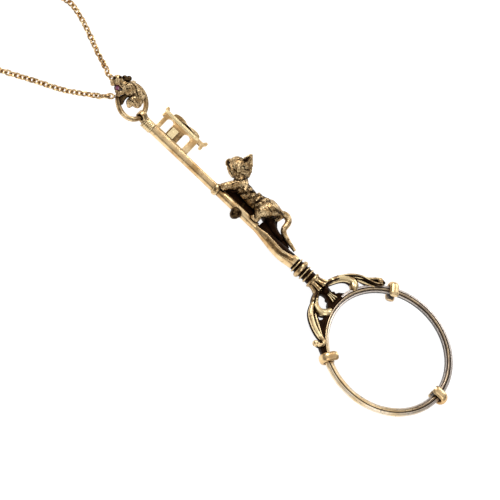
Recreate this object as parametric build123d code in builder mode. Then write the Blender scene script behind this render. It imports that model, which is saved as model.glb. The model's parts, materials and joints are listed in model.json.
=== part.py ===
from build123d import *
import math
import os

# A quizzing glass that hangs on a neck chain, in millimetres.
# X runs along the stem from the bow to the lens. Y runs across it, towards the key bit and the cat.
# Z runs up from the table that the glass lies on, and the stem's axis is at the height of the clips.

overrun = 4.0

# Lens, with the two rings that hold it
lens_x = 39.1
lens_radius = 15.9
lens_edge = 0.5
lens_thickness = 1.1
lens_bevel = 1.6
lens_edge_play = 0.1
lens_lap = 0.4
bezel_wall = 1.05
bezel_height = 1.2
rim_wall = 1.5
rim_height = 1.4
rim_bevel = 0.4

# Claws that clip over the rim
claw_turns = (0.0, 123.0, -123.0)
claw_names = ("claw_end", "claw_cat_side", "claw_foot_side")
claw_bend = 1.45
claw_seat_gap = 0.06
claw_width = 1.75
claw_thickness = 1.4
claw_finger = 2.35

# Openwork between the neck and the rim
hub_gap = 2.15
hub_length = 2.4
hub_width = 3.0
hub_height = 1.9
hub_round = 0.4
arm_height = 1.7
scroll_width = 1.3
rib_width = 0.85
rib_height = 1.3
bud_radius = 0.72

# Neck and handle
crown_length = 3.4
crown_root_radius = 2.1
crown_flare_radius = 2.85
crown_flutes = 8
flute_radius = 0.55
collar_length = 5.8
collar_waist_radius = 1.7
reed_radii = (2.25, 2.5, 2.1, 2.0)
reed_place_shares = (0.08, 0.37, 0.66, 0.86)
reed_width_shares = (0.11, 0.3, 0.12, 0.11)
spindle_radius = 0.8
spindle_depth = 2.0
handle_length = 13.2
handle_start_radius = 1.25
handle_swell_radius = 2.4
handle_end_radius = 1.85

# Stem
rod_length = 13.0
rod_radius = 1.15
tenon_radius = 0.8
tenon_depth = 4.0
tube_length = 25.2
tube_radius = 1.2
end_collar_radius = 1.62
end_collar_length = 1.5
end_collar_bevel = 0.3
ferrule_radius = 1.5
ferrule_length = 2.4
ferrule_groove = 0.12
ferrule_grooves = 3
plug_flange = 0.4
plug_depth = 3.0

# Key bit
bit_thickness = 1.1
bit_start = 2.4
bit_length = 10.65
bit_bar_inner = 6.1
bit_bar_outer = 7.3
bit_bar_overhang = 1.1
bit_window_width = 1.95
bit_window_foot = 1.6
bit_window_places = (2.15, 7.8)
bit_lobe_radius = 0.45
bit_lobe_reach = 1.0
bit_lobe_lean = 0.45
crest_thickness = 0.8
crest_height = 1.1
crest_lobe_radius = 2.6
crest_lobe_share = 0.9

# Eye at the top of the stem, which the bow turns in
hinge_reach = 1.7
hinge_rise = 1.0
eye_wall = 0.45
eye_play = 0.12
lug_width = 1.5

# Bow, a ring that stands up a little from the table
bow_lift = 20.0
bow_radius = 4.5
bow_wire = 1.5
wire_sides = 8

# Small rings that join the chain to the bow
end_ring_radius = 1.02
end_ring_wire = 0.34
end_ring_slack = 0.08
end_ring_turns = (3.5, 37.0)
end_ring_names = ("end_ring_upper", "end_ring_left")

# Mouse on the bow, with a stone in a collet
mouse_length = 10.0
mouse_sides = 7
collet_radius = 0.85
collet_height = 1.3
stone_seat = 0.45
stone_radius = 0.62
stone_table_share = 0.55
stone_height = 0.55

# Cat on the stem
cat_length = 20.0
cat_sides = 7
stud_x = -12.05
stud_radius = 0.6
stud_play = 0.02
stud_head_radius = 1.5
stud_head_height = 1.15
stud_reach = 3.6

# Chain, as one tube of the links' outer size, a little above the table where its facets tip
chain_width = 1.9
chain_lift = 0.1
strand_sides = 6
coil_sides = 4
coil_pitch = 2.45
coil_outer_radius = 11.45
coil_inward_turns = 6
coil_outward_turns = 5
coil_layer_step = 2.45
coil_samples = 24
bend_share = 0.45

# Clasp at one end of the chain, and the ring that it closes on
clasp_length = 10.5
clasp_height = 2.2
clasp_nose_radius = 2.6
clasp_bore_radius = 1.45
clasp_tail_radius = 1.2
clasp_eye_radius = 0.6
clasp_slot = 1.0
clasp_play = 0.06
clasp_pin_radius = 0.35
lever_thickness = 0.84
lever_width = 0.9
lever_hub_radius = 0.8
spring_strip = 0.2
catch_ring_radius = 2.1
catch_ring_wire = 0.8
catch_tab = 1.2

# Places along the stem
rim_clear_radius = lens_radius - lens_lap
rim_bore_radius = rim_clear_radius + bezel_wall
rim_outer_radius = rim_bore_radius + rim_wall
axis_height = claw_bend + claw_thickness / 2
hub_front_x = lens_x - rim_outer_radius - hub_gap
hub_back_x = hub_front_x - hub_length
crown_back_x = hub_back_x - crown_length
collar_back_x = crown_back_x - collar_length
handle_back_x = collar_back_x - handle_length
rod_back_x = handle_back_x - rod_length
tube_back_x = rod_back_x - tube_length
hinge_x = tube_back_x - hinge_reach
hinge_z = axis_height + hinge_rise
eye_radius = bow_wire / 2 + eye_play
lug_radius = eye_radius + eye_wall

stem_axis = Axis((0, 0, axis_height), (1, 0, 0))
lens_axis = Axis((lens_x, 0, axis_height), (0, 0, 1))
stem_plane = Plane(origin=(0, 0, axis_height), x_dir=(1, 0, 0), z_dir=(0, 0, 1))
side_plane = Plane(origin=(0, 0, axis_height), x_dir=(1, 0, 0), z_dir=(0, -1, 0))
lens_section = Plane(origin=(lens_x, 0, axis_height), x_dir=(1, 0, 0), z_dir=(0, -1, 0))
lens_plane = Plane(origin=(lens_x, 0, axis_height), x_dir=(1, 0, 0), z_dir=(0, 0, 1))

parts = []


def keep(builder, name):
    """Label a finished piece and remember it for the export."""
    builder.part.label = name
    parts.append(builder.part)


def across_stem(x):
    """A plane square to the stem at x, looking towards the lens."""
    return Plane(origin=(x, 0, axis_height), x_dir=(0, 1, 0), z_dir=(1, 0, 0))


def rounded_form(stations, sides):
    """Loft a limb through many-sided sections, each given as (place, radius)."""
    sections = []
    last = len(stations) - 1
    for number, (place, radius) in enumerate(stations):
        ahead = stations[min(number + 1, last)][0] - stations[max(number - 1, 0)][0]
        level = Vector(0, 0, 1).cross(ahead)
        with BuildSketch(Plane(origin=place, x_dir=level, z_dir=ahead)) as section:
            RegularPolygon(radius, sides)
        sections.append(section.sketch.face())
    loft(sections, ruled=True)


def oval_corners(width, height):
    """Corners of an eight-sided oval of a width and a height."""
    reach = 1 / math.cos(math.pi / 8)
    corners = []
    for number in range(8):
        angle = (number + 1 / 2) * math.pi / 4
        corners.append((width / 2 * reach * math.cos(angle), height / 2 * reach * math.sin(angle)))
    return corners


# Lens, a disc that thins towards its edge
with BuildPart() as lens:
    with BuildSketch(lens_section):
        with BuildLine():
            Polyline(
                (0, lens_thickness / 2),
                (lens_radius - lens_bevel, lens_thickness / 2),
                (lens_radius, lens_edge / 2),
                (lens_radius, -lens_edge / 2),
                (lens_radius - lens_bevel, -lens_thickness / 2),
                (0, -lens_thickness / 2),
                close=True,
            )
        make_face()
    revolve(axis=lens_axis)
keep(lens, "lens")

# Inner ring, grooved for the lens
with BuildPart() as bezel:
    with BuildSketch(lens_section):
        with Locations((rim_clear_radius + bezel_wall / 2, 0)):
            Rectangle(bezel_wall, bezel_height)
        with Locations((rim_clear_radius + lens_lap / 2, 0)):
            Rectangle(lens_lap, lens_edge + 2 * lens_edge_play, mode=Mode.SUBTRACT)
    revolve(axis=lens_axis)
keep(bezel, "inner_bezel")

# Outer ring, bevelled on its outside
with BuildPart() as rim:
    with BuildSketch(lens_section):
        with Locations((rim_bore_radius + rim_wall / 2, 0)):
            rim_face = Rectangle(rim_wall, rim_height)
        chamfer(rim_face.vertices().group_by(Axis.X)[-1], rim_bevel)
    revolve(axis=lens_axis)
keep(rim, "rim_band")

# Claws, each a rod bent round the rim with two fingers over the lens
claw_bend_place = rim_outer_radius + claw_seat_gap + claw_thickness / 2 - claw_bend
for turn, name in zip(claw_turns, claw_names):
    outward = Vector(1, 0, 0).rotate(Axis.Z, turn)
    sideways = Vector(0, 0, 1).cross(outward)
    radial = Plane(origin=(lens_x, 0, axis_height), x_dir=outward, z_dir=-sideways)
    finger_tip = claw_bend_place - claw_finger
    with BuildPart() as claw:
        with BuildLine(radial) as claw_path:
            Line((finger_tip, claw_bend), (claw_bend_place, claw_bend))
            ThreePointArc(
                (claw_bend_place, claw_bend),
                (claw_bend_place + claw_bend, 0),
                (claw_bend_place, -claw_bend),
            )
            Line((claw_bend_place, -claw_bend), (finger_tip, -claw_bend))
        tip = lens_plane.origin + outward * finger_tip + Vector(0, 0, claw_bend)
        with BuildSketch(Plane(origin=tip, x_dir=sideways, z_dir=outward)):
            Polygon(*oval_corners(claw_width, claw_thickness))
        sweep(path=claw_path.line)
    keep(claw, name)

# Hub, the block that the scroll arms and the neck meet in, with its leaf to the rim
leaf_root_share = 0.35
leaf_spread_share = 0.62
with BuildPart() as hub:
    with Locations(((hub_front_x + hub_back_x) / 2, 0, axis_height)):
        Box(hub_length, hub_width, hub_height)
    fillet(hub.edges().filter_by(Axis.Y), hub_round)
    with BuildSketch(stem_plane):
        with BuildLine():
            leaf_root = hub_width * leaf_root_share
            leaf_spread = hub_width * leaf_spread_share
            rim_side_x = lens_x - rim_outer_radius + overrun / 8
            Line((hub_front_x, -leaf_root), (hub_front_x, leaf_root))
            ThreePointArc(
                (hub_front_x, leaf_root),
                ((hub_front_x + rim_side_x) / 2, leaf_root),
                (rim_side_x, leaf_spread),
            )
            Line((rim_side_x, leaf_spread), (rim_side_x, -leaf_spread))
            ThreePointArc(
                (rim_side_x, -leaf_spread),
                ((hub_front_x + rim_side_x) / 2, -leaf_root),
                (hub_front_x, -leaf_root),
            )
        make_face()
    extrude(amount=rim_height / 2, both=True)
    with Locations((lens_x, 0, axis_height)):
        Cylinder(rim_outer_radius, hub_height + overrun, mode=Mode.SUBTRACT)
keep(hub, "hub_leaf")

# Scroll arms. Each has a C scroll from the hub to the rim, and a leaf of two ribs that springs from
# its back, follows the rim and ends in a hook with a bud. The places are shares of the rim's outer
# radius, measured from the lens's centre towards the neck and across the stem.
arm_root_x = (hub_front_x + hub_back_x) / 2
c_scroll_shares = {
    "scroll_cat_side": ((1.194, 0.244), (1.114, 0.382), (0.958, 0.452), (0.906, 0.371)),
    "scroll_foot_side": ((1.208, 0.216), (1.141, 0.302), (1.047, 0.310), (0.947, 0.205)),
}
outer_rib_shares = {
    "scroll_cat_side": ((1.160, 0.385), (1.045, 0.540), (0.870, 0.625), (0.690, 0.732), (0.738, 0.785)),
    "scroll_foot_side": ((1.160, 0.335), (1.078, 0.475), (0.915, 0.590), (0.750, 0.695), (0.792, 0.775)),
}
inner_rib_shares = {
    "scroll_cat_side": ((1.120, 0.385), (0.935, 0.590), (0.700, 0.715)),
    "scroll_foot_side": ((1.125, 0.330), (0.955, 0.535), (0.735, 0.640)),
}


def arm_places(shares, side):
    """Points on the stem's plane from an arm's shares."""
    return [(lens_x - along * rim_outer_radius, side * across * rim_outer_radius) for along, across in shares]


def arm_rod(path, width, height):
    """An oval rod along a path in the stem's plane."""
    with BuildSketch(Plane(origin=path @ 0, x_dir=(0, 0, 1), z_dir=path % 0)) as section:
        Polygon(*oval_corners(height, width))
    sweep(section.sketch, path=path)


for side, name in ((1, "scroll_cat_side"), (-1, "scroll_foot_side")):
    c_places = arm_places(c_scroll_shares[name], side)
    outer_places = arm_places(outer_rib_shares[name], side)
    inner_places = arm_places(inner_rib_shares[name], side)
    with BuildPart() as arm:
        with BuildLine(stem_plane) as c_scroll:
            first = ThreePointArc((arm_root_x, side * hub_width / 2), c_places[0], c_places[1])
            second = TangentArc(first @ 1, c_places[2], tangent=first % 1)
            TangentArc(second @ 1, c_places[3], tangent=second % 1)
        arm_rod(c_scroll.wire(), scroll_width, arm_height)
        with BuildLine(stem_plane) as outer_rib:
            first = ThreePointArc(*outer_places[:3])
            second = TangentArc(first @ 1, outer_places[3], tangent=first % 1)
            TangentArc(second @ 1, outer_places[4], tangent=second % 1)
        arm_rod(outer_rib.wire(), rib_width, arm_height)
        with Locations(outer_rib.wire() @ 1):
            Sphere(bud_radius)
        with BuildLine(stem_plane) as inner_rib:
            ThreePointArc(*inner_places)
        arm_rod(inner_rib.wire(), rib_width, rib_height)
        with Locations((arm_root_x, 0, axis_height)):
            Box(hub_length + overrun, hub_width, hub_height + overrun, mode=Mode.SUBTRACT)
        with Locations((lens_x, 0, axis_height)):
            Cylinder(rim_outer_radius, arm_height + overrun, mode=Mode.SUBTRACT)
        with BuildSketch(across_stem(crown_back_x)):
            Circle(crown_flare_radius)
        extrude(amount=crown_length, mode=Mode.SUBTRACT)
    keep(arm, name)

# Crown, a fluted cup that the hub stands in. It, the collar, the handle and the cat are flat where they
# touch the table.
with BuildPart() as crown:
    with BuildSketch(stem_plane):
        with BuildLine():
            Polyline(
                (crown_back_x, spindle_radius),
                (crown_back_x, crown_root_radius),
                (crown_back_x + crown_length / 2, crown_root_radius),
                (hub_back_x, crown_flare_radius),
                (hub_back_x, spindle_radius),
                close=True,
            )
        make_face()
    revolve(axis=stem_axis)
    with BuildSketch(across_stem(crown_back_x - overrun / 2)):
        with PolarLocations(crown_flare_radius, crown_flutes):
            Circle(flute_radius)
    extrude(amount=crown_length + overrun, mode=Mode.SUBTRACT)
    split(bisect_by=Plane.XY)
keep(crown, "crown_cap")

# Reeded collar, four bevelled rings on a waist
with BuildPart() as collar:
    with BuildSketch(stem_plane):
        with Locations(((collar_back_x + crown_back_x) / 2, (collar_waist_radius + spindle_radius) / 2)):
            Rectangle(collar_length, collar_waist_radius - spindle_radius)
        for reed_radius, place_share, width_share in zip(reed_radii, reed_place_shares, reed_width_shares):
            reed_width = width_share * collar_length
            reed_foot = (collar_waist_radius + spindle_radius) / 2
            with Locations((collar_back_x + place_share * collar_length, (reed_foot + reed_radius) / 2)):
                reed = Rectangle(reed_width, reed_radius - reed_foot)
            chamfer(reed.vertices().group_by(Axis.Y)[-1], reed_width / 4)
    revolve(axis=stem_axis)
    split(bisect_by=Plane.XY)
keep(collar, "reeded_collar")

# Spindle that runs through the collar and the crown
with BuildPart() as spindle:
    with BuildSketch(across_stem(collar_back_x - spindle_depth)):
        Circle(spindle_radius)
    extrude(amount=hub_back_x - collar_back_x + spindle_depth)
keep(spindle, "neck_spindle")

# Handle, which swells towards the neck
rise_place_shares = (0.16, 0.32, 0.48)
rise_swell_shares = (0.22, 0.56, 0.86)
swell_place_shares = (0.62, 0.76)
fall_place_share = 0.9
fall_swell_share = 0.6
swell_gain = handle_swell_radius - handle_start_radius
end_gain = handle_swell_radius - handle_end_radius
handle_outline = [(handle_back_x, 0), (handle_back_x, handle_start_radius)]
for place_share, swell_share in zip(rise_place_shares, rise_swell_shares):
    rise_x = handle_back_x + handle_length * place_share
    handle_outline.append((rise_x, handle_start_radius + swell_gain * swell_share))
for place_share in swell_place_shares:
    handle_outline.append((handle_back_x + handle_length * place_share, handle_swell_radius))
fall_x = handle_back_x + handle_length * fall_place_share
handle_outline.append((fall_x, handle_end_radius + end_gain * fall_swell_share))
handle_outline = handle_outline + [(collar_back_x, handle_end_radius), (collar_back_x, 0)]
with BuildPart() as handle:
    with BuildSketch(stem_plane):
        with BuildLine():
            Polyline(*handle_outline, close=True)
        make_face()
    revolve(axis=stem_axis)
    with BuildSketch(across_stem(collar_back_x)):
        Circle(spindle_radius)
    extrude(amount=-spindle_depth, mode=Mode.SUBTRACT)
    with BuildSketch(across_stem(handle_back_x)):
        Circle(tenon_radius)
    extrude(amount=tenon_depth, mode=Mode.SUBTRACT)
    split(bisect_by=Plane.XY)
keep(handle, "handle")

# Rod between the handle and the tube, with a tenon into each and a hole for the cat's stud
with BuildPart() as rod:
    with BuildSketch(across_stem(rod_back_x)):
        Circle(rod_radius)
    extrude(amount=rod_length)
    with BuildSketch(across_stem(rod_back_x - tenon_depth)):
        Circle(tenon_radius)
    extrude(amount=rod_length + 2 * tenon_depth)
    with BuildSketch(Plane(origin=(stud_x, 0, axis_height), x_dir=(1, 0, 0), z_dir=(0, 1, 0))):
        Circle(stud_radius + stud_play)
    extrude(amount=rod_radius + overrun, both=True, mode=Mode.SUBTRACT)
keep(rod, "stem_rod")

# Tube, open from end to end
with BuildPart() as tube:
    with BuildSketch(across_stem(tube_back_x)):
        Circle(tube_radius)
        Circle(tenon_radius, mode=Mode.SUBTRACT)
    extrude(amount=tube_length)
keep(tube, "stem_tube")

# Bevelled collar on the tube's lower end
with BuildPart() as end_collar:
    with BuildSketch(stem_plane):
        with Locations((rod_back_x - end_collar_length / 2, (tube_radius + end_collar_radius) / 2)):
            collar_face = Rectangle(end_collar_length, end_collar_radius - tube_radius)
        chamfer(collar_face.vertices().group_by(Axis.Y)[-1], end_collar_bevel)
    revolve(axis=stem_axis)
keep(end_collar, "tube_end_collar")

# Ferrule on the tube's upper end, with turned grooves
with BuildPart() as ferrule:
    with BuildSketch(stem_plane):
        with Locations((tube_back_x + ferrule_length / 2, (tube_radius + ferrule_radius) / 2)):
            Rectangle(ferrule_length, ferrule_radius - tube_radius)
        groove_step = ferrule_length / ferrule_grooves
        for number in range(ferrule_grooves):
            groove_x = tube_back_x + (number + 1 / 2) * groove_step
            with Locations((groove_x, ferrule_radius)):
                Rectangle(ferrule_groove, 2 * ferrule_groove, mode=Mode.SUBTRACT)
    revolve(axis=stem_axis)
keep(ferrule, "top_ferrule")

# Plug that closes the tube, with a lug whose eye the bow turns in
with BuildPart() as plug:
    with BuildSketch(across_stem(tube_back_x - plug_flange)):
        Circle(ferrule_radius)
    extrude(amount=plug_flange)
    with BuildSketch(across_stem(tube_back_x)):
        Circle(tenon_radius)
    extrude(amount=plug_depth)
    with BuildSketch(side_plane):
        with BuildLine():
            Polyline(
                (tube_back_x - plug_flange, -lug_radius / 2),
                (hinge_x, hinge_rise - lug_radius),
                (hinge_x, hinge_rise + lug_radius),
                (tube_back_x - plug_flange, hinge_rise + lug_radius / 2),
                close=True,
            )
        make_face()
        with Locations((hinge_x, hinge_rise)):
            Circle(lug_radius)
    extrude(amount=lug_width / 2, both=True)
    with BuildSketch(side_plane):
        with Locations((hinge_x, hinge_rise)):
            Circle(eye_radius)
    extrude(amount=lug_width, both=True, mode=Mode.SUBTRACT)
keep(plug, "eye_plug")

# Key bit, three posts under a bar whose ends split into lobes
bit_x = tube_back_x + bit_start
bar_height = bit_bar_outer - bit_bar_inner
bar_middle_y = (bit_bar_inner + bit_bar_outer) / 2
bar_start = (bit_x, bar_middle_y)
bar_end = (bit_x + bit_length + bit_bar_overhang, bar_middle_y)
with BuildPart() as bit:
    with BuildSketch(stem_plane):
        with Locations(((bar_start[0] + bar_end[0]) / 2, bar_middle_y)):
            Rectangle(bar_end[0] - bar_start[0], bar_height)
        with Locations((bit_x + bit_length / 2, bit_bar_inner / 2)):
            Rectangle(bit_length, bit_bar_inner)
        for (end_x, end_y), lean in ((bar_start, -bit_lobe_lean), (bar_end, bit_lobe_lean)):
            for side in (-1, 1):
                lobe_x = end_x + lean * (1 + side * bit_lobe_lean)
                lobe = (lobe_x, end_y + side * bit_lobe_reach)
                middle = ((end_x + lobe[0]) / 2, (end_y + lobe[1]) / 2)
                SlotCenterPoint(center=middle, point=lobe, height=2 * bit_lobe_radius)
        for place in bit_window_places:
            window_x = bit_x + place
            window_top = bit_bar_inner - bit_window_width / 2
            with Locations((window_x, (bit_window_foot + window_top) / 2)):
                Rectangle(bit_window_width, window_top - bit_window_foot, mode=Mode.SUBTRACT)
            with Locations((window_x, window_top)):
                Circle(bit_window_width / 2, mode=Mode.SUBTRACT)
    extrude(amount=bit_thickness / 2, both=True)
    with BuildSketch(across_stem(bit_x - overrun)):
        Circle(tube_radius)
    extrude(amount=bit_length + 2 * overrun, mode=Mode.SUBTRACT)
    with BuildSketch(across_stem(tube_back_x)):
        Circle(ferrule_radius)
    extrude(amount=ferrule_length, mode=Mode.SUBTRACT)
    with BuildSketch(stem_plane):
        with Locations((bit_x + bit_length / 2, -overrun)):
            Rectangle(bit_length + overrun, 2 * overrun)
    extrude(amount=bit_thickness, both=True, mode=Mode.SUBTRACT)
keep(bit, "key_bit")

# Crest along the bar's outer edge, in two lobes
with BuildPart() as crest:
    with BuildSketch(stem_plane):
        crest_x = (bar_start[0] + bar_end[0]) / 2
        crest_y = bit_bar_outer + crest_height - crest_lobe_radius
        for lobe in (-1, 1):
            with Locations((crest_x + lobe * crest_lobe_radius * crest_lobe_share, crest_y)):
                Circle(crest_lobe_radius)
        with Locations((crest_x, bit_bar_outer - crest_lobe_radius)):
            Rectangle(bit_length, 2 * crest_lobe_radius, mode=Mode.SUBTRACT)
    extrude(amount=crest_thickness / 2, both=True)
keep(crest, "bit_crest")

# Frame of the bow: along it from the eye, across it, and out of its plane
bow_tilt = math.radians(bow_lift)
bow_ahead = Vector(-math.cos(bow_tilt), 0, math.sin(bow_tilt))
bow_normal = Vector(math.sin(bow_tilt), 0, math.cos(bow_tilt))
bow_plane = Plane(origin=(hinge_x, 0, hinge_z), x_dir=bow_ahead, z_dir=bow_normal)


def on_bow(along, across, above):
    """A point given along the bow, across it and above it."""
    return bow_plane.from_local_coords(Vector(along, across, above))


# Bow, a round wire ring that passes through the eye
with BuildPart() as bow:
    with BuildSketch(Plane(origin=on_bow(2 * bow_radius, 0, 0), x_dir=bow_ahead, z_dir=(0, 1, 0))):
        RegularPolygon(bow_wire / 2, wire_sides)
    revolve(axis=Axis(on_bow(bow_radius, 0, 0), bow_normal))
keep(bow, "bow_ring")

# Rings that hook the two chain ends on the bow
end_rings = []
for turn, name in zip(end_ring_turns, end_ring_names):
    away = math.radians(turn)
    reach = bow_radius + end_ring_slack
    place = on_bow(bow_radius + reach * math.cos(away), reach * math.sin(away), 0)
    along_wire = on_bow(-math.sin(away), math.cos(away), 0) - on_bow(0, 0, 0)
    outward = on_bow(math.cos(away), math.sin(away), 0) - on_bow(0, 0, 0)
    section_plane = Plane(origin=place + outward * end_ring_radius, x_dir=outward, z_dir=bow_normal)
    with BuildPart() as end_ring:
        with BuildSketch(section_plane):
            RegularPolygon(end_ring_wire / 2, wire_sides)
        revolve(axis=Axis(place, along_wire))
    keep(end_ring, name)
    end_rings.append(end_ring)

# Mouse that lies over the bow: shares of its length along the bow, across it, above it, and its radius
mouse_body_shares = (
    (0.26, 0.00, 0.08, 0.050),
    (0.34, -0.02, 0.12, 0.140),
    (0.47, 0.00, 0.14, 0.180),
    (0.66, -0.10, 0.17, 0.160),
    (0.85, -0.10, 0.20, 0.130),
    (1.02, 0.01, 0.23, 0.095),
    (1.12, 0.08, 0.20, 0.080),
)
mouse_head_shares = (
    (1.15, 0.04, 0.20, 0.070),
    (1.17, 0.08, 0.19, 0.125),
    (1.19, 0.14, 0.17, 0.140),
    (1.205, 0.22, 0.13, 0.095),
    (1.215, 0.29, 0.09, 0.035),
)
mouse_limb_shares = (
    ((1.03, 0.03, 0.21, 0.070), (1.05, 0.11, 0.16, 0.060), (1.02, 0.16, 0.11, 0.050)),
    ((0.84, -0.16, 0.17, 0.080), (0.82, -0.28, 0.11, 0.065), (0.78, -0.36, 0.05, 0.050)),
    ((0.46, 0.06, 0.10, 0.110), (0.49, 0.12, 0.05, 0.080), (0.41, 0.115, 0.01, 0.050)),
    ((0.42, -0.12, 0.10, 0.110), (0.37, -0.26, 0.06, 0.080), (0.33, -0.36, 0.03, 0.050)),
)
mouse_ear_shares = (
    ((1.10, 0.01, 0.26, 0.050), (1.06, -0.06, 0.31, 0.085), (1.03, -0.09, 0.34, 0.030)),
    ((1.07, -0.09, 0.24, 0.050), (1.00, -0.19, 0.27, 0.085), (0.97, -0.22, 0.29, 0.030)),
)
collet_place_shares = (0.93, 0.17, 0.02)
collet_lean_shares = (0.5, 0.6, 0.6)


def mouse_stations(shares):
    """Places and radii on the bow from the mouse's shares."""
    places = []
    for along, across, above, radius in shares:
        place = on_bow(along * mouse_length, across * mouse_length, above * mouse_length)
        places.append((place, radius * mouse_length))
    return places


with BuildPart() as mouse:
    rounded_form(mouse_stations(mouse_body_shares), mouse_sides)
    rounded_form(mouse_stations(mouse_head_shares), mouse_sides)
    for shares in mouse_limb_shares + mouse_ear_shares:
        rounded_form(mouse_stations(shares), mouse_sides)
    add(bow.part, mode=Mode.SUBTRACT)
keep(mouse, "mouse")

cat_origin = Vector(rod_back_x, 0, axis_height)
cat_torso_shares = (
    (0.09, 0.315, 0.040, 0.060),
    (0.13, 0.275, 0.035, 0.092),
    (0.20, 0.245, 0.035, 0.100),
    (0.36, 0.225, 0.035, 0.094),
    (0.48, 0.255, 0.035, 0.125),
    (0.61, 0.285, 0.035, 0.152),
    (0.73, 0.300, 0.035, 0.130),
    (0.80, 0.310, 0.035, 0.060),
)
cat_head_shares = (
    (-0.155, 0.470, 0.050, 0.060),
    (-0.115, 0.465, 0.050, 0.120),
    (-0.010, 0.445, 0.050, 0.146),
    (0.075, 0.405, 0.055, 0.120),
    (0.125, 0.375, 0.055, 0.080),
    (0.150, 0.300, 0.040, 0.070),
)
cat_muzzle_shares = (
    (-0.010, 0.420, 0.130, 0.085),
    (0.010, 0.360, 0.165, 0.070),
    (0.018, 0.335, 0.180, 0.030),
)
cat_ear_shares = (
    ((-0.040, 0.530, 0.050, 0.070), (-0.020, 0.620, 0.045, 0.048), (-0.010, 0.710, 0.035, 0.008)),
    ((-0.140, 0.430, 0.110, 0.062), (-0.175, 0.405, 0.140, 0.045), (-0.205, 0.385, 0.160, 0.010)),
)
cat_limb_shares = (
    ((0.14, 0.25, 0.08, 0.070), (0.055, 0.13, 0.095, 0.052), (0.02, 0.035, 0.09, 0.045), (0.0, -0.02, 0.085, 0.035)),
    ((0.16, 0.23, 0.0, 0.070), (0.10, 0.12, -0.04, 0.050), (0.05, 0.05, -0.055, 0.042), (0.03, 0.01, -0.055, 0.03)),
    ((0.63, 0.255, 0.11, 0.125), (0.56, 0.15, 0.115, 0.085), (0.575, 0.05, 0.09, 0.05), (0.62, -0.01, 0.08, 0.045)),
    ((0.66, 0.25, -0.005, 0.105), (0.76, 0.19, -0.02, 0.070), (0.89, 0.13, 0.0, 0.05), (0.99, 0.095, 0.01, 0.04)),
)
cat_tail_shares = (
    (0.730, 0.380, 0.035, 0.045),
    (0.800, 0.440, 0.035, 0.042),
    (0.880, 0.410, 0.035, 0.040),
    (0.920, 0.330, 0.035, 0.038),
    (0.935, 0.240, 0.035, 0.036),
    (0.995, 0.175, 0.030, 0.032),
    (1.110, 0.145, 0.020, 0.028),
    (1.225, 0.125, 0.010, 0.020),
)


def cat_stations(shares):
    """Places and radii on the stem from the cat's shares."""
    places = []
    for along, up, front, radius in shares:
        place = cat_origin + Vector(along, up, front) * cat_length
        places.append((place, radius * cat_length))
    return places


# Cat that climbs the stem, one casting, cut where it sits on the stem
with BuildPart() as cat:
    rounded_form(cat_stations(cat_torso_shares), cat_sides)
    rounded_form(cat_stations(cat_head_shares), cat_sides)
    rounded_form(cat_stations(cat_muzzle_shares), cat_sides)
    for shares in cat_ear_shares + cat_limb_shares:
        rounded_form(cat_stations(shares), cat_sides)
    rounded_form(cat_stations(cat_tail_shares), cat_sides)
    for carrier in (rod, end_collar, tube, handle):
        add(carrier.part, mode=Mode.SUBTRACT)
    with BuildSketch(Plane(origin=(stud_x, 0, axis_height), x_dir=(1, 0, 0), z_dir=(0, 1, 0))):
        Circle(stud_radius)
    extrude(amount=stud_reach, mode=Mode.SUBTRACT)
    split(bisect_by=Plane.XY)
keep(cat, "cat")

# Stud that holds the cat on the rod, with a domed head on the far side
with BuildPart() as stud:
    with BuildSketch(Plane(origin=(stud_x, -rod_radius, axis_height), x_dir=(1, 0, 0), z_dir=(0, 1, 0))):
        Circle(stud_radius)
    extrude(amount=rod_radius + stud_reach)
    head_plane = Plane(origin=(stud_x, -rod_radius, axis_height), x_dir=(1, 0, 0), z_dir=(0, 0, 1))
    with BuildSketch(head_plane):
        with BuildLine():
            dome = [(0, -stud_head_height)]
            for number in range(1, 4):
                angle = number * math.pi / 6
                dome.append((stud_head_radius * math.sin(angle), -stud_head_height * math.cos(angle)))
            Polyline(*dome, (stud_head_radius, rod_radius / 2), (0, rod_radius / 2), close=True)
        make_face()
    revolve(axis=Axis((stud_x, 0, axis_height), (0, 1, 0)))
    with BuildSketch(across_stem(rod_back_x)):
        Circle(rod_radius)
    extrude(amount=rod_length, mode=Mode.SUBTRACT)
    with BuildSketch(Plane(origin=(stud_x, -rod_radius, axis_height), x_dir=(1, 0, 0), z_dir=(0, 1, 0))):
        Circle(stud_radius)
    extrude(amount=rod_radius + stud_reach)
keep(stud, "cat_stud")

# Collet, a small cup on the bow under the mouse's paw, and its stone
collet_foot = mouse_stations([collet_place_shares + (0,)])[0][0]
collet_out = on_bow(*collet_lean_shares) - on_bow(0, 0, 0)
collet_plane = Plane(origin=collet_foot, x_dir=collet_out.cross(bow_normal), z_dir=collet_out)
with BuildPart() as collet:
    with BuildSketch(collet_plane):
        Circle(collet_radius)
    extrude(amount=collet_height)
    with BuildSketch(collet_plane.offset(collet_height)):
        Circle(stone_radius)
    extrude(amount=-stone_seat, mode=Mode.SUBTRACT)
    add(mouse.part, mode=Mode.SUBTRACT)
    add(bow.part, mode=Mode.SUBTRACT)
keep(collet, "stone_collet")

with BuildPart() as stone:
    with BuildSketch(collet_plane.offset(collet_height - stone_seat)):
        Circle(stone_radius)
    extrude(amount=stone_seat)
    with BuildSketch(collet_plane.offset(collet_height)):
        Circle(stone_radius)
    with BuildSketch(collet_plane.offset(collet_height + stone_height / 2)):
        Circle(stone_radius * stone_table_share)
    loft()
    add(mouse.part, mode=Mode.SUBTRACT)
keep(stone, "pink_stone")

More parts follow.
